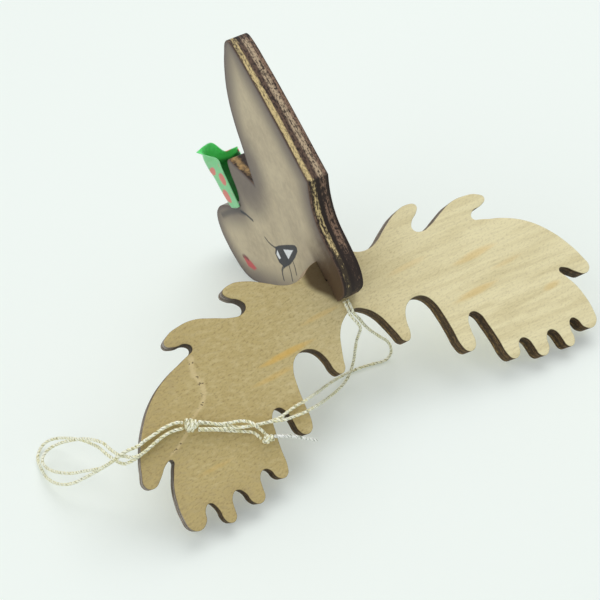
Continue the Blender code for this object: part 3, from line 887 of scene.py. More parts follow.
@dataclass(frozen=True)
class PaintedFace:
    """Matt beige paint, airbrushed grey along the rim, with a brushed eye, lashes, nostril and mouth, and
    scorch with painted shade at the crown.

    Attributes:
        grains: noises on the face: clouds, brushed grain, specks and mottling.
        strip_grains: noises on the wall of the notch: its ragged depth and its patches.
        eye: corners of the eye's dark patch; glint and corner are the white patches in it.
        lashes: brushed lines under the eye; lid, mouth and lip are other lines.
        line_widths: half-widths of the lashes, the lid and the mouth, in millimetres.
        line_soft: how far past that width a line fades out, and how far inside it begins to.
        nostril: corners of the red patch, and nostril_rim the dark line on it.
        throat: middle of the grey oval at the throat, and throat_size its half-sizes.
        spray: distances from the rim over which the grey comes in, drifting and even.
        crown: the zone at the crown, along and up the face, scorched brown and painted with the shade where
            the head meets the antler board.
        nape: where up the worn rim of the nape begins.
        straight: the clean cut down the nape; foot, bend, jaws and notch are other zones of the cut edge.
        bare_strip: the strip of the notch's wall that is left unburnt, by the place and the ragged depth.
    """

    beige: Colour = srgb(208, 193, 163)
    sand: Colour = srgb(184, 169, 144)
    smoke: Colour = srgb(106, 96, 94)
    scorch_and_shade: Colour = srgb(82, 62, 40)
    slate: Colour = srgb(56, 58, 66)
    pewter: Colour = srgb(150, 146, 138)
    tan: Colour = srgb(176, 140, 88)
    white: Colour = srgb(240, 242, 246)
    coral: Colour = srgb(206, 84, 88)
    plum: Colour = srgb(112, 70, 72)
    grains: tuple[Grain, ...] = (
        Grain((0.12, 0.12, 0.1)), Grain((0.5, 2.0, 0.5), -24.0, 4.0, 0.65),
        Grain((5.0, 5.0, 5.0), detail=2.0), Grain((0.8, 0.8, 0.8), detail=4.0, rough=0.6))
    strip_grains: tuple[Grain, ...] = (Grain((0.9, 0.9, 0.9)), Grain((1.3, 1.3, 1.3)))
    eye: tuple[Point2, ...] = (
        (25.3, -6.8), (24.7, -6.4), (24.1, -7.0), (23.5, -9.8), (23.2, -14.0), (23.5, -18.0), (25.0, -19.6),
        (26.9, -19.4), (27.8, -17.4), (27.5, -15.2), (26.6, -11.4), (25.8, -8.4))
    glint: tuple[Point2, ...] = ((24.85, -9.0), (24.2, -13.7), (26.3, -13.9))
    corner: tuple[Point2, ...] = ((25.4, -17.5), (25.5, -18.7), (26.6, -18.9), (27.1, -17.3))
    lashes: tuple[tuple[Point2, ...], ...] = (
        ((23.4, -11.9), (22.8, -12.05), (22.1, -12.4), (20.9, -13.5)),
        ((23.3, -15.0), (22.0, -15.8), (20.5, -17.3)),
        ((23.7, -17.8), (23.75, -19.1), (23.4, -20.3), (22.7, -21.1), (21.8, -21.8)))
    lid: tuple[Point2, ...] = ((27.4, -16.8), (27.9, -18.1), (28.7, -19.2), (29.6, -20.1), (30.7, -20.7))
    mouth: tuple[Point2, ...] = ((35.0, -22.9), (37.0, -25.1), (38.3, -27.2))
    line_widths: tuple[float, ...] = (0.2, 0.2, 0.26, 0.2, 0.3)
    line_soft: Point2 = (0.14, 0.12)
    lip: tuple[Point2, ...] = ((37.6, -26.1), (39.1, -29.4), (40.3, -34.4), (41.2, -40.0))
    nostril: tuple[Point2, ...] = (
        (27.5, -34.8), (27.6, -36.8), (29.2, -39.4), (31.4, -39.8), (31.2, -38.0), (29.4, -36.2))
    nostril_rim: tuple[Point2, ...] = ((30.3, -37.4), (31.3, -38.6), (31.5, -39.6))
    throat: Point2 = (43.5, -15.0)
    throat_size: Point2 = (11.5, 14.0)
    spray: tuple[Point2, Point2] = ((7.0, 0.0), (2.7, 0.3))
    crown: tuple[Fade, ...] = ((ALONG, 27.0, 17.0), (UP, -2.0, 0.0))
    nape: Point2 = (2.0, 6.0)
    straight: tuple[Fade, ...] = ((ALONG, 31.3, 32.1), (UP, 6.0, 8.4), (ALONG, 60.2, 58.4))
    foot: tuple[Fade, ...] = ((ALONG, 21.5, 16.5), (UP, 1.0, 4.0))
    bend: tuple[Fade, ...] = ((ALONG, 27.0, 31.0), (UP, 6.0, 8.4))
    jaws: tuple[tuple[Fade, ...], ...] = (
        ((ALONG, 38.6, 39.4), (UP, -27.0, -28.0)), ((UP, -41.0, -43.5),))
    notch: tuple[Fade, ...] = ((ALONG, 39.0, 41.5), (UP, -25.0, -22.0), (UP, -3.0, -6.0))
    bare_strip: tuple[Fade, ...] = ((THROUGH, -2.0, -1.3), (THROUGH, 0.2, -0.9), (ALONG, 40.6, 43.6))

    def material(self, edge: CutEdge) -> Material:
        """Mix the finish.

        Args:
            edge: the finish of the cut edge.

        Returns:
            The material.
        """
        paint = Paint("painted_face")
        place = paint.vector("board_place")
        along, up, _ = paint.parts(place)
        rim = paint.number("rim")
        cloud, brushed, speck, mottle = (paint.grain(place, grain) for grain in self.grains)
        reach = rim + (cloud - 0.5) * 3.4 + (mottle - 0.5) * 1.6
        throat = paint.oval(along, up, self.throat, self.throat_size).ramp(1.1, 0.1) * 0.86
        drift, even = reach.ramp(*self.spray[0]), rim.ramp(*self.spray[1])
        spray = (drift * 0.88).most(even * 0.97).most(throat)
        # scorch and painted shade on the face where the crown meets the antler board
        crown = paint.zone((along + (mottle - 0.5) * 5.0, up), self.crown)
        nape = up.ramp(*self.nape)
        colour = paint.coats(
            self.beige,
            ((cloud * 0.6 + brushed * 0.2 + mottle * 0.5).ramp(0.45, 0.9), self.sand),
            (spray * (0.86 + speck * 0.2), self.smoke),
            # scorched brown with painted shade at the crown
            (crown * 0.92, self.scorch_and_shade),
            *self.features(paint, along, up, brushed),
            (rim.ramp(0.5, 0.1) * (0.5 + nape * 0.35), edge.walnut),
            (paint.number("cut"), self.wall(paint, edge, place)))
        height = brushed * 0.5 + speck * 0.25 + mottle * 0.3
        return paint.dressed({"Base Color": colour, "Roughness": 0.58 + cloud * 0.2,
                              "Specular IOR Level": 0.3, "Normal": paint.bump(height, 0.22, WOOD_RELIEF)})

    def wall(self, paint: Paint, edge: CutEdge, place: Socket) -> Socket:
        """Colour of the cut edge: clean at the nape, charred at the crown, grey jaw, burnt notch."""
        along, up, depth = spot = paint.parts(place)
        straight, foot, bend, notch = (paint.zone(spot, fades)
                                       for fades in (self.straight, self.foot, self.bend, self.notch))
        char = 0.3 - straight * 0.14 + foot * 0.75 + bend * (1.0 - straight) * 0.25
        jaw = reduce(Value.most, (paint.zone(spot, fades) for fades in self.jaws))
        wander, patch = (paint.grain(place, grain) for grain in self.strip_grains)
        strip = paint.zone((along, up, depth + (wander - 0.5) * 2.4), self.bare_strip)
        burnt = paint.mix(strip * patch.ramp(0.12, 0.72), edge.scorched, self.tan)
        return paint.coats(edge.colour(paint, -edge.thickness / 2, 1.0 - straight, char, 0.0),
                           (jaw * 0.85, self.pewter), (notch * 0.88, burnt))

    def features(self, paint: Paint, along: Value, up: Value, brushed: Value) -> list[tuple[Value, Colour]]:
        """Coats of the eye, nostril, lip and brushed lines, each a mask and its colour."""
        soft = (brushed - 0.5) * 0.14
        eye, glint, corner = ((paint.outside(along, up, patch) + soft).ramp(0.1, -0.1)
                              for patch in (self.eye, self.glint, self.corner))
        red = paint.outside(along, up, self.nostril).ramp(0.3, -0.3)
        flare = paint.near_path(along, up, self.nostril_rim).ramp(0.75, 0.1)
        lip = paint.near_path(along, up, self.lip).ramp(1.1, 0.1)
        past, short = self.line_soft
        lines = reduce(Value.most, (
            (paint.near_path(along, up, path) + soft).ramp(width + past, width - short)
            for path, width in zip((*self.lashes, self.lid, self.mouth), self.line_widths)))
        return [(eye * 0.96, self.slate), (glint, self.white), (corner, self.white), (red * 0.9, self.coral),
                (flare * 0.75, self.plum), (lip * 0.5, self.slate), (lines * 0.86, self.slate)]


@dataclass(frozen=True)
class RibbonCloth:
    """Woven ribbon: plain green inside, darkened by painted shade low in the trough, paler with coral dots on
    the printed side.

    Attributes:
        dot_step: spacing of the dots across and along, in millimetres.
        dot_radius: of a dot.
        dot_soft: half-width of a dot's soft edge.
        dot_start: place of one dot.
        dot_phase: cells added so that a dot is in the middle of its cell and no cell is counted below zero.
        open_from: where along the cloth the painted shade inside gives way to the lit green, from and to.
        cloud: noise that blurs that border.
        thread_step: spacing of the threads across and along.
        print_zones: where on the two walls whole dots are printed.
        glow: how far each colour of light goes through the cloth, as shares of glow_depth.
        glow_depth: of the light that shines through, in millimetres.
    """

    green: Colour = srgb(104, 240, 128)
    weave_and_shade_green: Colour = srgb(12, 92, 30)
    print_ground: Colour = srgb(140, 206, 154)
    coral: Colour = srgb(232, 112, 112)
    dot_step: Point2 = (3.6, 2.2)
    dot_radius: float = 0.95
    dot_soft: float = 0.12
    dot_start: Point2 = (3.2, 1.7)
    dot_phase: float = 10.5
    open_from: Point2 = (7.6, 10.2)
    cloud: Grain = Grain((0.35, 0.35, 0.35))
    thread_step: Point2 = (0.3, 0.34)
    print_zones: tuple[tuple[Fade, ...], ...] = (
        ((ALONG, 0.38, 0.48), (UP, 0.48, 0.6), (UP, 7.2, 7.0), (ALONG, 4.3, 4.1)), ((ALONG, 5.93, 6.0),))
    glow: Colour = (0.7, 1.0, 0.7)
    glow_depth: float = 0.8

    def weave(self, paint: Paint, place: Socket) -> Value:
        """Fine crossed threads: the product of two sine ridges."""
        ways = zip(paint.parts(place), self.thread_step)
        warp, weft = ((way * (math.tau / step)).math("SINE") for way, step in ways)
        return warp * weft * 0.5 + 0.5

    def plain(self) -> Material:
        """Mix the green inner side, with painted shade low in the trough."""
        paint = Paint("ribbon_inside")
        place = paint.vector("cloth_place")
        thread = self.weave(paint, place)
        along = paint.parts(place)[1] + (paint.grain(place, self.cloud) - 0.5) * 2.0
        # painted shade: the inside is dark where the head shades the trough, and lit green towards the cut end
        colour = paint.coats(self.weave_and_shade_green, (along.ramp(*self.open_from), self.green), (thread * 0.2, self.weave_and_shade_green))
        return self.finish(paint, colour, thread)

    def printed(self) -> Material:
        """Mix the dotted outer side: staggered round dots on a paler ground."""
        paint = Paint("ribbon_print")
        place = paint.vector("cloth_place")
        spot = paint.parts(place)
        thread = self.weave(paint, place)
        column, row = ((way - start) / step + self.dot_phase for way, start, step
                       in zip(spot, self.dot_start, self.dot_step))
        shift = (row.math("FLOOR") * 0.5).math("FRACT")
        cell_a, cell_b = (cell.math("FRACT") - 0.5 for cell in (column + shift, row))
        off = ((cell_a * self.dot_step[0]) ** 2.0 + (cell_b * self.dot_step[1]) ** 2.0) ** 0.5
        ragged = off + (thread - 0.5) * 0.2
        dots = ragged.ramp(self.dot_radius + self.dot_soft, self.dot_radius - self.dot_soft)
        dots = dots * reduce(Value.most, (paint.zone(spot, fades) for fades in self.print_zones))
        colour = paint.coats(self.print_ground, (thread * 0.35, self.green), (dots * 0.92, self.coral))
        return self.finish(paint, colour, thread)

    def finish(self, paint: Paint, colour: Socket, thread: Value) -> Material:
        """Set what both sides share."""
        return paint.dressed({
            "Base Color": colour, "Roughness": 0.5 + thread * 0.2, "Sheen Weight": 0.2,
            "Subsurface Weight": 0.5, "Subsurface Radius": self.glow,
            "Subsurface Scale": self.glow_depth * MM,
            "Normal": paint.bump(thread, 0.3, THREAD_RELIEF)})


@dataclass
class RibbonTail:
    """End of a folded ribbon, tucked into the throat, with its near wall turned out in a flap.

    Attributes:
        cage: points in the panel's frame: rows from the throat to the cut end, and columns down
        the near wall, across the bottom and up the far wall.
        samples: points along and across the cloth.
        flat: size of the cloth laid out, in millimetres.
        print_span: how much of the printed pattern spans the cloth each way.
        thickness: of the cloth.
    """

    cage: tuple[tuple[Point3, ...], ...] = (
        ((-2.25, 39.0, -25.8), (-2.3, 39.4, -28.0), (-2.25, 40.5, -30.4),
         (1.4, 40.9, -29.6), (2.25, 39.8, -27.6), (2.25, 39.3, -26.0)),
        ((-2.45, 43.2, -24.9), (-2.8, 43.5, -27.2), (-2.6, 43.9, -30.2),
         (1.6, 43.9, -29.8), (2.5, 43.6, -27.6), (2.4, 43.4, -25.2)),
        ((-2.6, 46.8, -24.2), (-3.0, 47.0, -27.2), (-2.7, 47.2, -30.2),
         (1.7, 47.0, -30.3), (2.7, 46.8, -27.6), (2.6, 46.7, -25.0)),
        ((-2.6, 49.0, -24.0), (-3.2, 49.2, -27.2), (-3.0, 49.4, -30.2),
         (1.4, 49.2, -30.0), (2.6, 49.2, -27.4), (2.5, 49.2, -25.0)),
        ((-4.0, 50.5, -24.4), (-4.3, 50.8, -26.6), (-2.9, 51.0, -28.8),
         (0.8, 50.0, -29.0), (2.3, 49.8, -27.2), (2.5, 49.8, -25.0)),
        ((-5.5, 52.2, -25.3), (-3.6, 52.8, -25.2), (-1.4, 53.0, -26.2),
         (0.3, 50.8, -27.0), (1.6, 50.4, -26.2), (2.6, 50.2, -25.1)))
    samples: tuple[int, int] = (64, 72)
    flat: Point2 = (14.0, 13.7)
    print_span: Point2 = (12.0, 12.5)
    thickness: float = 0.16

    def build(self, panel: Panel, cloth: RibbonCloth) -> Piece:
        """Lay the cloth over its cage and give it thickness.

        Each point is the sum of all the cage's points, weighed along the cloth and across it.

        Args:
            panel: the antler board's frame.
            cloth: its finish.

        Returns:
            The ribbon, in place of its solid.
        """
        long, wide = self.samples
        cage = np.array(self.cage)
        down = catmull_rom(cage.shape[0], long)
        over = catmull_rom(cage.shape[1], wide)
        points = np.einsum("sr,tc,rcx->stx", down, over, cage).reshape(-1, 3)
        faces = quads(np.arange(long * wide).reshape(long, wide), closed=False)
        piece = add_piece("ribbon_tail", panel.out(points), faces.tolist(), [cloth.printed(), cloth.plain()])
        across, along = np.meshgrid(np.linspace(0.0, self.print_span[0], wide),
                                    np.linspace(0.0, self.print_span[1], long))
        laid_out = np.column_stack((across.ravel(), along.ravel(), np.zeros(across.size)))
        add_attribute(piece, "cloth_place", laid_out)
        thick = piece.modifiers.new("cloth", "SOLIDIFY")
        thick.thickness = self.thickness * MM
        thick.offset = 0.0
        thick.material_offset = 1
        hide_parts("ribbon")
        return piece


@dataclass(frozen=True)
class GoldThread:
    """Twisted metallic thread: bright metal strands with duller flecks, dark grooves between the strands as
    painted shade, and painted glints.

    Attributes:
        grains: noises round and along the thread: flecks, and glitter that places painted glints and dark
            painted reflections.
    """

    name: str = "gold_thread"
    foil_and_glints: Colour = srgb(255, 255, 236)
    straw: Colour = srgb(234, 228, 178)
    groove: Colour = srgb(114, 109, 72)
    grains: tuple[Grain, ...] = (Grain((1.5, 0.4, 1.4), rough=0.7), Grain((2.6, 1.0, 2.2), detail=2.0))

    def material(self) -> Material:
        """Mix the finish."""
        paint = Paint(self.name)
        spun = paint.vector("spin")
        lobe = paint.parts(spun)[1]
        fleck, glitter = (paint.grain(spun, grain) for grain in self.grains)
        colour = paint.coats(
            self.straw,
            (fleck.ramp(0.4, 0.6), self.foil_and_glints),
            # painted shade in the grooves between the strands
            (lobe.ramp(0.55, 0.1) * 0.7, self.groove),
            # dark painted reflections
            (glitter.ramp(0.42, 0.34) * 0.7, self.groove),
            # painted glints
            (glitter.ramp(0.53, 0.61) * 0.9, self.foil_and_glints))
        return paint.dressed({
            "Base Color": colour, "Metallic": fleck.ramp(0.4, 0.6) * 0.2,
            "Roughness": 0.5 - glitter.ramp(0.45, 0.7) * 0.25,
            "Normal": paint.bump(glitter, 0.3, THREAD_RELIEF)})


class Stretch(Enum):
    """Stretches of the thread, named as their solids, with given routes in millimetres."""

    THREAD_STRAND_A = (
        (-0.3, -17.4, 20.8), (-0.3, -18.1, 20.2), (-0.35, -18.9, 19.5), (-0.2, -18.8, 18.7),
        (0.3, -18.9, 17.7), (0.9, -18.9, 16.5), (1.8, -18.6, 14.5), (3.3, -17.8, 11.8),
        (5.7, -16.8, 8.1), (7.7, -15.4, 5.0), (8.4, -15.3, 3.2), (8.5, -15.2, 1.5),
        (7.8, -15.3, 0.6), (6.5, -15.4, 0.4), (4.4, -14.8, 0.4), (2.2, -14.4, 0.5),
        (-0.1, -14.1, 0.4), (-2.5, -14.6, 0.9), (-5.7, -16.8, 3.0), (-10.8, -22.3, 8.2),
        (-13.9, -25.7, 11.5), (-15.5, -26.8, 12.4), (-16.9, -26.6, 12.1), (-18.9, -26.8, 11.9),
        (-20.6, -27.0, 11.7), (-22.2, -26.9, 11.8), (-23.8, -26.7, 12.0), (-25.9, -26.3, 12.4),
        (-27.5, -25.9, 12.8), (-29.1, -25.2, 13.4), (-30.7, -24.4, 14.1), (-32.1, -23.8, 14.7),
        (-33.7, -23.2, 15.3))
    THREAD_STRAND_B = (
        (-1.02, -17.4, 20.8), (-1.02, -18.1, 20.2), (-1.07, -18.9, 19.5), (-1.0, -19.0, 18.8),
        (-0.7, -19.3, 18.1), (-0.2, -19.8, 17.0), (0.5, -19.5, 15.2), (0.6, -18.6, 13.2),
        (0.6, -17.3, 10.6), (0.7, -15.9, 7.0), (0.3, -15.3, 3.7), (-1.7, -16.4, 1.9),
        (-4.4, -17.8, 1.7), (-8.5, -21.0, 4.2), (-12.5, -25.2, 8.3), (-14.9, -27.5, 10.7),
        (-16.5, -28.0, 11.2), (-18.1, -27.7, 11.1), (-20.0, -28.1, 11.8), (-21.4, -27.9, 12.2),
        (-22.5, -27.6, 12.4), (-24.1, -27.3, 12.7), (-26.1, -27.0, 13.1), (-27.7, -26.6, 13.4),
        (-29.5, -26.1, 13.9), (-31.2, -25.5, 14.4), (-32.7, -25.0, 14.9), (-34.2, -24.5, 15.4))
    LOOP_OUTER = (
        (-35.8, -22.4, 16.1), (-36.9, -22.0, 16.4), (-38.7, -22.0, 16.5), (-40.8, -22.1, 16.3),
        (-42.8, -22.3, 16.1), (-44.3, -22.6, 16.0), (-46.0, -21.7, 15.2), (-48.0, -20.7, 13.6),
        (-49.5, -18.3, 10.7), (-50.9, -16.6, 8.8), (-53.0, -15.1, 7.1), (-55.2, -13.2, 5.3),
        (-56.9, -10.1, 3.4), (-58.0, -6.2, 1.9), (-58.1, -2.6, 0.9), (-57.8, 0.7, 0.5),
        (-56.8, 2.5, 0.7), (-55.1, 2.8, 1.6), (-53.2, 0.9, 3.1), (-51.3, -2.8, 5.1),
        (-49.8, -7.0, 7.1), (-48.7, -11.6, 8.9), (-48.3, -14.7, 9.8), (-47.7, -17.6, 10.4),
        (-47.4, -20.6, 12.1), (-46.9, -22.8, 13.7), (-45.3, -23.7, 14.7), (-43.7, -23.5, 15.0),
        (-41.9, -23.2, 15.3), (-40.0, -22.8, 15.6), (-38.1, -22.7, 15.7), (-36.2, -23.0, 15.5))
    LOOP_INNER = (
        (-36.0, -23.1, 16.8), (-37.1, -22.7, 17.1), (-38.9, -22.6, 17.2), (-41.0, -22.8, 17.0),
        (-42.9, -23.0, 16.8), (-44.4, -23.3, 16.7), (-46.6, -22.3, 15.8), (-48.8, -21.2, 14.0),
        (-50.3, -18.7, 11.2), (-51.3, -17.3, 10.1), (-52.7, -14.9, 8.4), (-54.5, -11.7, 6.1),
        (-56.3, -7.9, 4.1), (-57.3, -4.5, 2.7), (-57.4, -1.8, 2.0), (-56.5, -0.6, 2.3),
        (-55.0, -0.8, 3.3), (-53.2, -2.3, 4.7), (-51.5, -4.6, 6.3), (-49.8, -7.9, 8.5),
        (-48.0, -11.9, 10.0), (-47.4, -15.1, 10.6), (-46.8, -18.1, 11.4), (-46.4, -21.2, 13.7),
        (-46.5, -23.4, 15.5), (-45.4, -24.6, 16.0), (-43.9, -24.3, 15.8), (-42.0, -23.8, 16.0),
        (-40.2, -23.5, 16.3), (-38.3, -23.4, 16.4), (-36.4, -23.7, 16.2))
    THREAD_END_UPPER = (
        (-24.4, -28.6, 11.6), (-24.8, -28.4, 12.5), (-25.3, -28.17, 13.33), (-25.7, -27.5, 13.91),
        (-26.3, -26.44, 13.87), (-27.4, -25.76, 14.05), (-29.0, -25.5, 14.41), (-30.7, -25.12, 14.89),
        (-32.2, -24.45, 15.56), (-33.7, -23.8, 16.2))
    THREAD_END_LOWER = (
        (-25.1, -28.5, 10.6), (-25.7, -27.37, 11.41), (-26.5, -26.85, 11.83), (-27.7, -26.39, 12.3),
        (-29.0, -25.9, 12.79), (-30.3, -25.32, 13.27), (-31.4, -24.9, 13.7), (-32.6, -24.5, 14.1),
        (-34.1, -24.0, 14.6))
    THREAD_TAIL_LONG = (
        (-23.2, -29.4, 10.7), (-22.4, -29.7, 10.6), (-21.1, -30.0, 10.0), (-19.7, -30.3, 9.2),
        (-18.0, -30.6, 8.0), (-16.1, -30.7, 6.4))
    THREAD_TAIL_SHORT = (
        (-23.03, -28.86, 10.26), (-22.14, -29.1, 10.06), (-20.84, -29.4, 9.46), (-19.44, -29.7, 8.66),
        (-18.7, -29.85, 8.05))

    @property
    def node(self) -> str:
        """Name of the solid that the stretch stands for."""
        return self.name.lower()


@dataclass(frozen=True)
class Knot:
    """One knot of the thread.

    Attributes:
        node: its solid.
        middle: its middle, in millimetres.
        along: its axis.
        length: along the axis.
        diameter: across it.
        wraps: turns of the thread round the axis.
    """

    node: str
    middle: Point3
    along: Point3
    length: float
    diameter: float
    wraps: float


@dataclass
class HangingThread:
    """The gold thread: twisted stretches between two knots.

    Attributes:
        diameter: of the thread, in millimetres.
        pitch: length of one full twist.
        step: spacing of rings along the thread.
        sides: points round a ring.
        strands: strands twisted together.
        groove: depth of the grooves between strands, as a share of the radius.
        lobe_power: power that rounds the strands; smaller is rounder.
        tip_share: radius at the closed ends, as a share of the thread's.
        tip_lobe: height of a strand that the finish is told at the tips.
        spin_reach: how far the finish's third coordinate swings round the thread.
        span_points: points read from the curve between two points of a route.
        least_rings: spaces between rings on the shortest stretch.
        cord_step: spacing of the points that a cord is declared with.
        knots: the two knots.
        wind_at: shares of a knot's winding at which it turns back.
        wind_to: where along the knot it is there, as a share of the knot's length.
        wind_rise: how fast the winding comes up from the axis and goes back to it.
        wrap_points: points worked out for one turn of a winding.
        route_points: one of so many of those is kept for its route.
        core_length: length of the bundle inside a knot, as a share of the knot's.
        core_slack: thread diameters that the winding takes from the bundle's diameter.
        core_pitch: length of one full twist of the bundle.
        core_strands: strands that show in it.
        core_rings: rings along it.
    """

    diameter: float = 0.58
    pitch: float = 1.7
    step: float = 0.11
    sides: int = 20
    strands: int = 2
    groove: float = 0.3
    lobe_power: float = 0.6
    tip_share: float = 0.7
    tip_lobe: float = 0.5
    spin_reach: float = 0.5
    span_points: int = 24
    # cord_step: spacing of the points worked out along a free stretch.
    least_rings: int = 8
    cord_step: float = 0.5
    knots: tuple[Knot, ...] = (
        Knot("overhand_knot", (-35.1, -23.8, 16.2), (-0.89, 0.34, 0.3), 2.3, 2.4, 3.5),
        Knot("end_knot", (-24.2, -29.1, 10.6), (-0.8, 0.5, 0.3), 1.8, 1.8, 2.5))
    wind_at: tuple[float, ...] = (0.0, 0.08, 0.72, 1.0)
    wind_to: tuple[float, ...] = (-0.5, -0.34, 0.34, -0.3)
    wind_rise: float = 7.0
    wrap_points: int = 60
    route_points: int = 6
    core_length: float = 0.84
    core_slack: float = 1.7
    core_pitch: float = 6.0
    core_strands: int = 4
    core_rings: int = 24

    def smooth_route(self, route: np.ndarray, step: float) -> np.ndarray:
        """Read evenly spaced points from a Catmull-Rom curve through a route.

        Args:
            route: the route's points, in millimetres.
            step: spacing wanted.

        Returns:
            Points along the curve.
        """
        fine = catmull_rom(len(route), self.span_points * (len(route) - 1) + 1) @ route
        run = run_along(fine)
        places = np.linspace(0.0, run[-1], max(self.least_rings, round(run[-1] / step)) + 1)
        return np.column_stack([np.interp(places, run, fine[:, axis]) for axis in range(3)])

    @staticmethod
    def carried_frame(path: np.ndarray) -> tuple[np.ndarray, np.ndarray]:
        """Two directions square to a path that turn as little as they can along it.

        Any frame is taken at each point, the turn between neighbours is measured, and its sum is undone.

        Args:
            path: points along the path.

        Returns:
            The two directions at each point.
        """
        ahead = np.gradient(path, axis=0)
        ahead /= np.linalg.norm(ahead, axis=1)[:, None]
        aside = np.eye(3)[np.argmin(np.abs(ahead), axis=1)]
        first = aside - (aside * ahead).sum(1)[:, None] * ahead
        first /= np.linalg.norm(first, axis=1)[:, None]
        second = np.cross(ahead, first)
        turn = np.arctan2((first[:-1] * second[1:]).sum(1), (first[:-1] * first[1:]).sum(1))
        angle = np.concatenate(((0.0,), np.cumsum(turn)))[:, None]
        cosine, sine = np.cos(angle), np.sin(angle)
        return cosine * first + sine * second, cosine * second - sine * first

    def twisted(self, name: str, path: np.ndarray, finish: Material) -> Piece:
        """Carry a lobed ring along a path, turning once in each pitch, and close both ends.

        The ring's radius is that of the thread, less the groove where the strands meet.

        Args:
            name: the piece's name.
            path: points along it, in millimetres.
            finish: its material.

        Returns:
            The piece.
        """
        first, second = (way[:, None, :] for way in self.carried_frame(path))
        run = run_along(path)
        angle = np.linspace(0.0, math.tau, self.sides, endpoint=False)[None, :]
        spin = angle - run[:, None] * math.tau / self.pitch
        lobe = np.abs(np.cos(spin * self.strands / 2))
        radius = self.diameter / 2 * (1 - self.groove * (1 - lobe ** self.lobe_power))
        radius[[0, -1]] *= self.tip_share
        ring = np.cos(angle)[:, :, None] * first + np.sin(angle)[:, :, None] * second
        points = (path[:, None, :] + ring * radius[:, :, None]).reshape(-1, 3)
        number = np.arange(len(points)).reshape(len(path), self.sides)
        walls = quads(number)[:, [0, 3, 2, 1]]
        after = np.roll(number, -1, axis=1)
        start = np.column_stack((after[0], number[0], np.full(self.sides, len(points))))
        stop = np.column_stack((number[-1], after[-1], np.full(self.sides, len(points) + 1)))
        points = np.vstack((points, path[:1], path[-1:]))
        piece = add_piece(name, points * MM, walls.tolist() + start.tolist() + stop.tolist(), [finish])
        swing = np.sin(spin).ravel() * self.spin_reach
        wound = np.column_stack((np.repeat(run, self.sides), lobe.ravel(), swing))
        tips = [(end, self.tip_lobe, 0.0) for end in run[[0, -1]]]
        add_attribute(piece, "spin", np.vstack((wound, tips)))
        return piece

    def stretch(self, kind: Stretch, finish: Material) -> Piece:
        """Make one stretch in place of its solid."""
        path = self.smooth_route(np.array(kind.value), self.step)
        piece = self.twisted(kind.node + "_twist", path, finish)
        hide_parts(kind.node)
        return piece

    def winding(self, knot: Knot, finish: Material) -> Piece:
        """Wind a knot: the thread comes up from the axis, wraps round it, crosses back and goes down again.

        Args:
            knot: the knot.
            finish: its material.

        Returns:
            The winding, in place of the knot's solid.
        """
        t = np.linspace(0.0, 1.0, round(knot.wraps * self.wrap_points))
        reach = knot.diameter / 2 - self.diameter / 2
        swell = reach * np.minimum(1.0, np.minimum(t, 1 - t) * self.wind_rise) ** 0.5
        there = np.interp(t, self.wind_at, self.wind_to) * knot.length
        angle = t * knot.wraps * math.tau
        turn = np.array(Vector(knot.along).normalized().to_track_quat("Z", "Y").to_matrix())
        local = np.column_stack((swell * np.cos(angle), swell * np.sin(angle), there))
        route = (local @ turn.T + knot.middle)[::self.route_points]
        piece = self.twisted(knot.node + "_winding", self.smooth_route(route, self.step), finish)
        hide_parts(knot.node)
        return piece

    def core(self, knot: Knot, finish: Material) -> Piece:
        """Fill a knot's winding with the strands that run through it, as one thick twisted bundle.

        Args:
            knot: the knot.
            finish: its material.

        Returns:
            The bundle.
        """
        axis = np.array(Vector(knot.along).normalized())
        share = np.linspace(-self.core_length / 2, self.core_length / 2, self.core_rings)
        path = np.array(knot.middle) + share[:, None] * axis * knot.length
        bundle = HangingThread(diameter=knot.diameter - self.core_slack * self.diameter,
                               pitch=self.core_pitch, strands=self.core_strands)
        return bundle.twisted(knot.node + "_core", path, finish)

    def build(self, finish: Material, cut_end: Material) -> None:
        """Make the whole thread.

        Args:
            finish: the thread's material.
            cut_end: the paler material of its cut tails.
        """
        tails = (Stretch.THREAD_TAIL_LONG, Stretch.THREAD_TAIL_SHORT)
        pieces = {kind: self.stretch(kind, cut_end if kind in tails else finish) for kind in Stretch}
        free = (Stretch.THREAD_STRAND_A, Stretch.THREAD_STRAND_B, Stretch.LOOP_OUTER, Stretch.LOOP_INNER)
        on_it = [piece for kind, piece in pieces.items() if kind not in free]
        for knot in self.knots:
            on_it += [self.winding(knot, finish), self.core(knot, finish)]
        for kind in free:
            self.declare(kind)

    def declare(self, kind: Stretch) -> None:
        """Work out the points of a free stretch at the cord spacing; nothing is done with them."""
        path = self.smooth_route(np.array(kind.value), self.cord_step) * MM
        self.diameter * MM


@dataclass(frozen=True)
class Lamp:
    """One square soft lamp: its name, its place and side in metres, and its power in watts."""

    name: str
    place: Point3
    size: float
    power: float


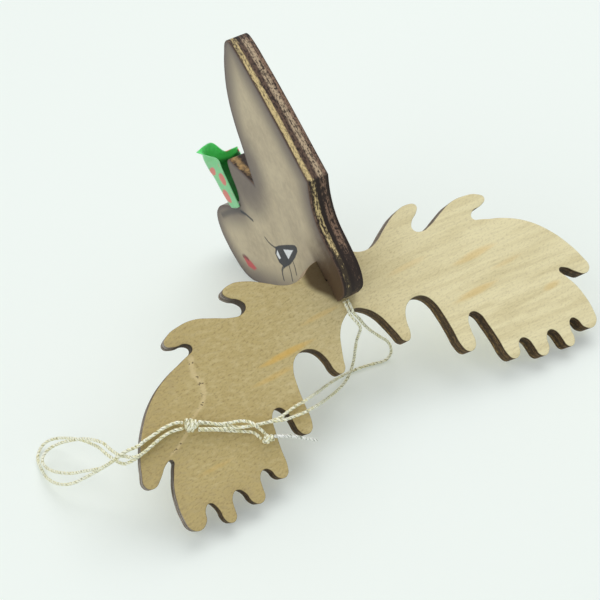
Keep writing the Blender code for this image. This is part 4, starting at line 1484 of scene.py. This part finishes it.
@dataclass
class Studio:
    """Pale table, soft light and the photograph's camera.

    Attributes:
        camera_at: the camera's place, in metres.
        right: the picture's right, in the table's frame.
        up: the picture's up.
        lens: focal length, in millimetres.
        sensor: width of the camera's sensor.
        nearest: distance under which the camera sees nothing, in metres.
        table: colour of the table.
        table_size: side of the table, in metres.
        evenness: share of the table's own colour in what the camera sees of it, the rest being lit.
        room: colour of the light from all round.
        room_light: its strength.
        lamps: a broad lamp above and a weaker one on the left.
        aim: the point that the lamps face.
    """

    camera_at: Point3 = (-0.07184, -0.16123, 0.15649)
    right: Point3 = (0.8628, -0.4897, -0.1251)
    up: Point3 = (0.4021, 0.5150, 0.7571)
    lens: float = 72.0
    sensor: float = 36.0
    nearest: float = 0.01
    table: Colour = srgb(243, 249, 244)
    table_size: float = 3.0
    evenness: float = 0.25
    room: Colour = srgb(244, 248, 250)
    room_light: float = 0.54
    lamps: tuple[Lamp, ...] = (Lamp("ceiling", (0.3, 0.2, 0.8), 0.75, 3.5),
                               Lamp("fill", (-0.55, -0.2, 0.55), 0.7, 1.6))
    aim: Point3 = (0.0, 0.0, 0.02)

    def camera(self) -> None:
        """Put the camera where the photograph was taken from."""
        data = bpy.data.cameras.new("photograph")
        data.lens = self.lens
        data.sensor_width = self.sensor
        data.clip_start = self.nearest
        camera = bpy.data.objects.new("photograph", data)
        right = Vector(self.right).normalized()
        back = right.cross(Vector(self.up)).normalized()
        turn = Matrix((right, back.cross(right), back)).transposed()
        camera.matrix_world = Matrix.Translation(self.camera_at) @ turn.to_4x4()
        bpy.context.scene.collection.objects.link(camera)
        bpy.context.scene.camera = camera

    def floor(self) -> None:
        """Lay a plain pale table."""
        half = self.table_size / 2
        corners = [(-half, -half, 0.0), (half, -half, 0.0), (half, half, 0.0), (-half, half, 0.0)]
        mesh = bpy.data.meshes.new("table")
        mesh.from_pydata(corners, [], [(0, 1, 2, 3)])
        paint = Paint("pale_table")
        mesh.materials.append(paint.dressed({"Base Color": self.table, "Roughness": 0.9,
                                             "Specular IOR Level": 0.1}))
        rays = paint.node("ShaderNodeLightPath").outputs
        seen = Value(paint, rays["Is Camera Ray"]).most(Value(paint, rays["Is Glossy Ray"]))
        seen = seen.most(Value(paint, rays["Is Transmission Ray"]))
        glow = paint.node("ShaderNodeEmission", None, {"Color": self.table, "Strength": 1.0})
        blend = paint.node("ShaderNodeMixShader", None,
                           {0: seen * self.evenness, 1: paint.shader.outputs[0], 2: glow.outputs[0]})
        paint.feed(paint.tree.nodes["Material Output"].inputs["Surface"], blend.outputs[0])
        table = bpy.data.objects.new("table", mesh)
        bpy.context.scene.collection.objects.link(table)

    def hang(self, lamp: Lamp) -> None:
        """Hang one lamp that faces the ornament."""
        data = bpy.data.lights.new(lamp.name, "AREA")
        data.size = lamp.size
        data.energy = lamp.power
        hung = bpy.data.objects.new(lamp.name, data)
        turn = (Vector(self.aim) - Vector(lamp.place)).to_track_quat("-Z", "Y")
        hung.matrix_world = Matrix.Translation(lamp.place) @ turn.to_matrix().to_4x4()
        bpy.context.scene.collection.objects.link(hung)

    def light(self) -> None:
        """Light the table softly from all round, and with the lamps."""
        world = bpy.data.worlds.new("soft_room")
        world.use_nodes = True
        background = world.node_tree.nodes["Background"]
        background.inputs["Color"].default_value = (*self.room, 1.0)
        background.inputs["Strength"].default_value = self.room_light
        bpy.context.scene.world = world
        for lamp in self.lamps:
            self.hang(lamp)

    def build(self) -> None:
        """Set the whole stage."""
        self.camera()
        self.floor()
        self.light()
        bpy.context.scene.view_settings.view_transform = "Standard"


def main() -> None:
    """Build the ornament's pieces in order."""
    logging.basicConfig(level=logging.INFO, format="%(message)s")
    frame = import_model()
    Studio().build()
    panel = Panel.from_frame(frame)
    silvery = GoldThread("silvery_end", srgb(255, 255, 250), srgb(218, 222, 208), srgb(112, 116, 102))
    HangingThread().build(GoldThread().material(), silvery.material())
    brown_edge = CutEdge(scorched=srgb(58, 42, 22), umber=srgb(110, 84, 50), walnut=srgb(100, 77, 47),
                         gold=srgb(168, 136, 82), hazel=srgb(138, 110, 68))
    antlers = Board("antlers", (0, 1, 2), snug=2.0).build(frame, panel, BarePlywood().material(brown_edge))
    head = Board("head", (1, 2, 0)).build(frame, panel, PaintedFace().material(CutEdge()))
    RibbonTail().build(panel, RibbonCloth())


if __name__ == "__main__":
    main()
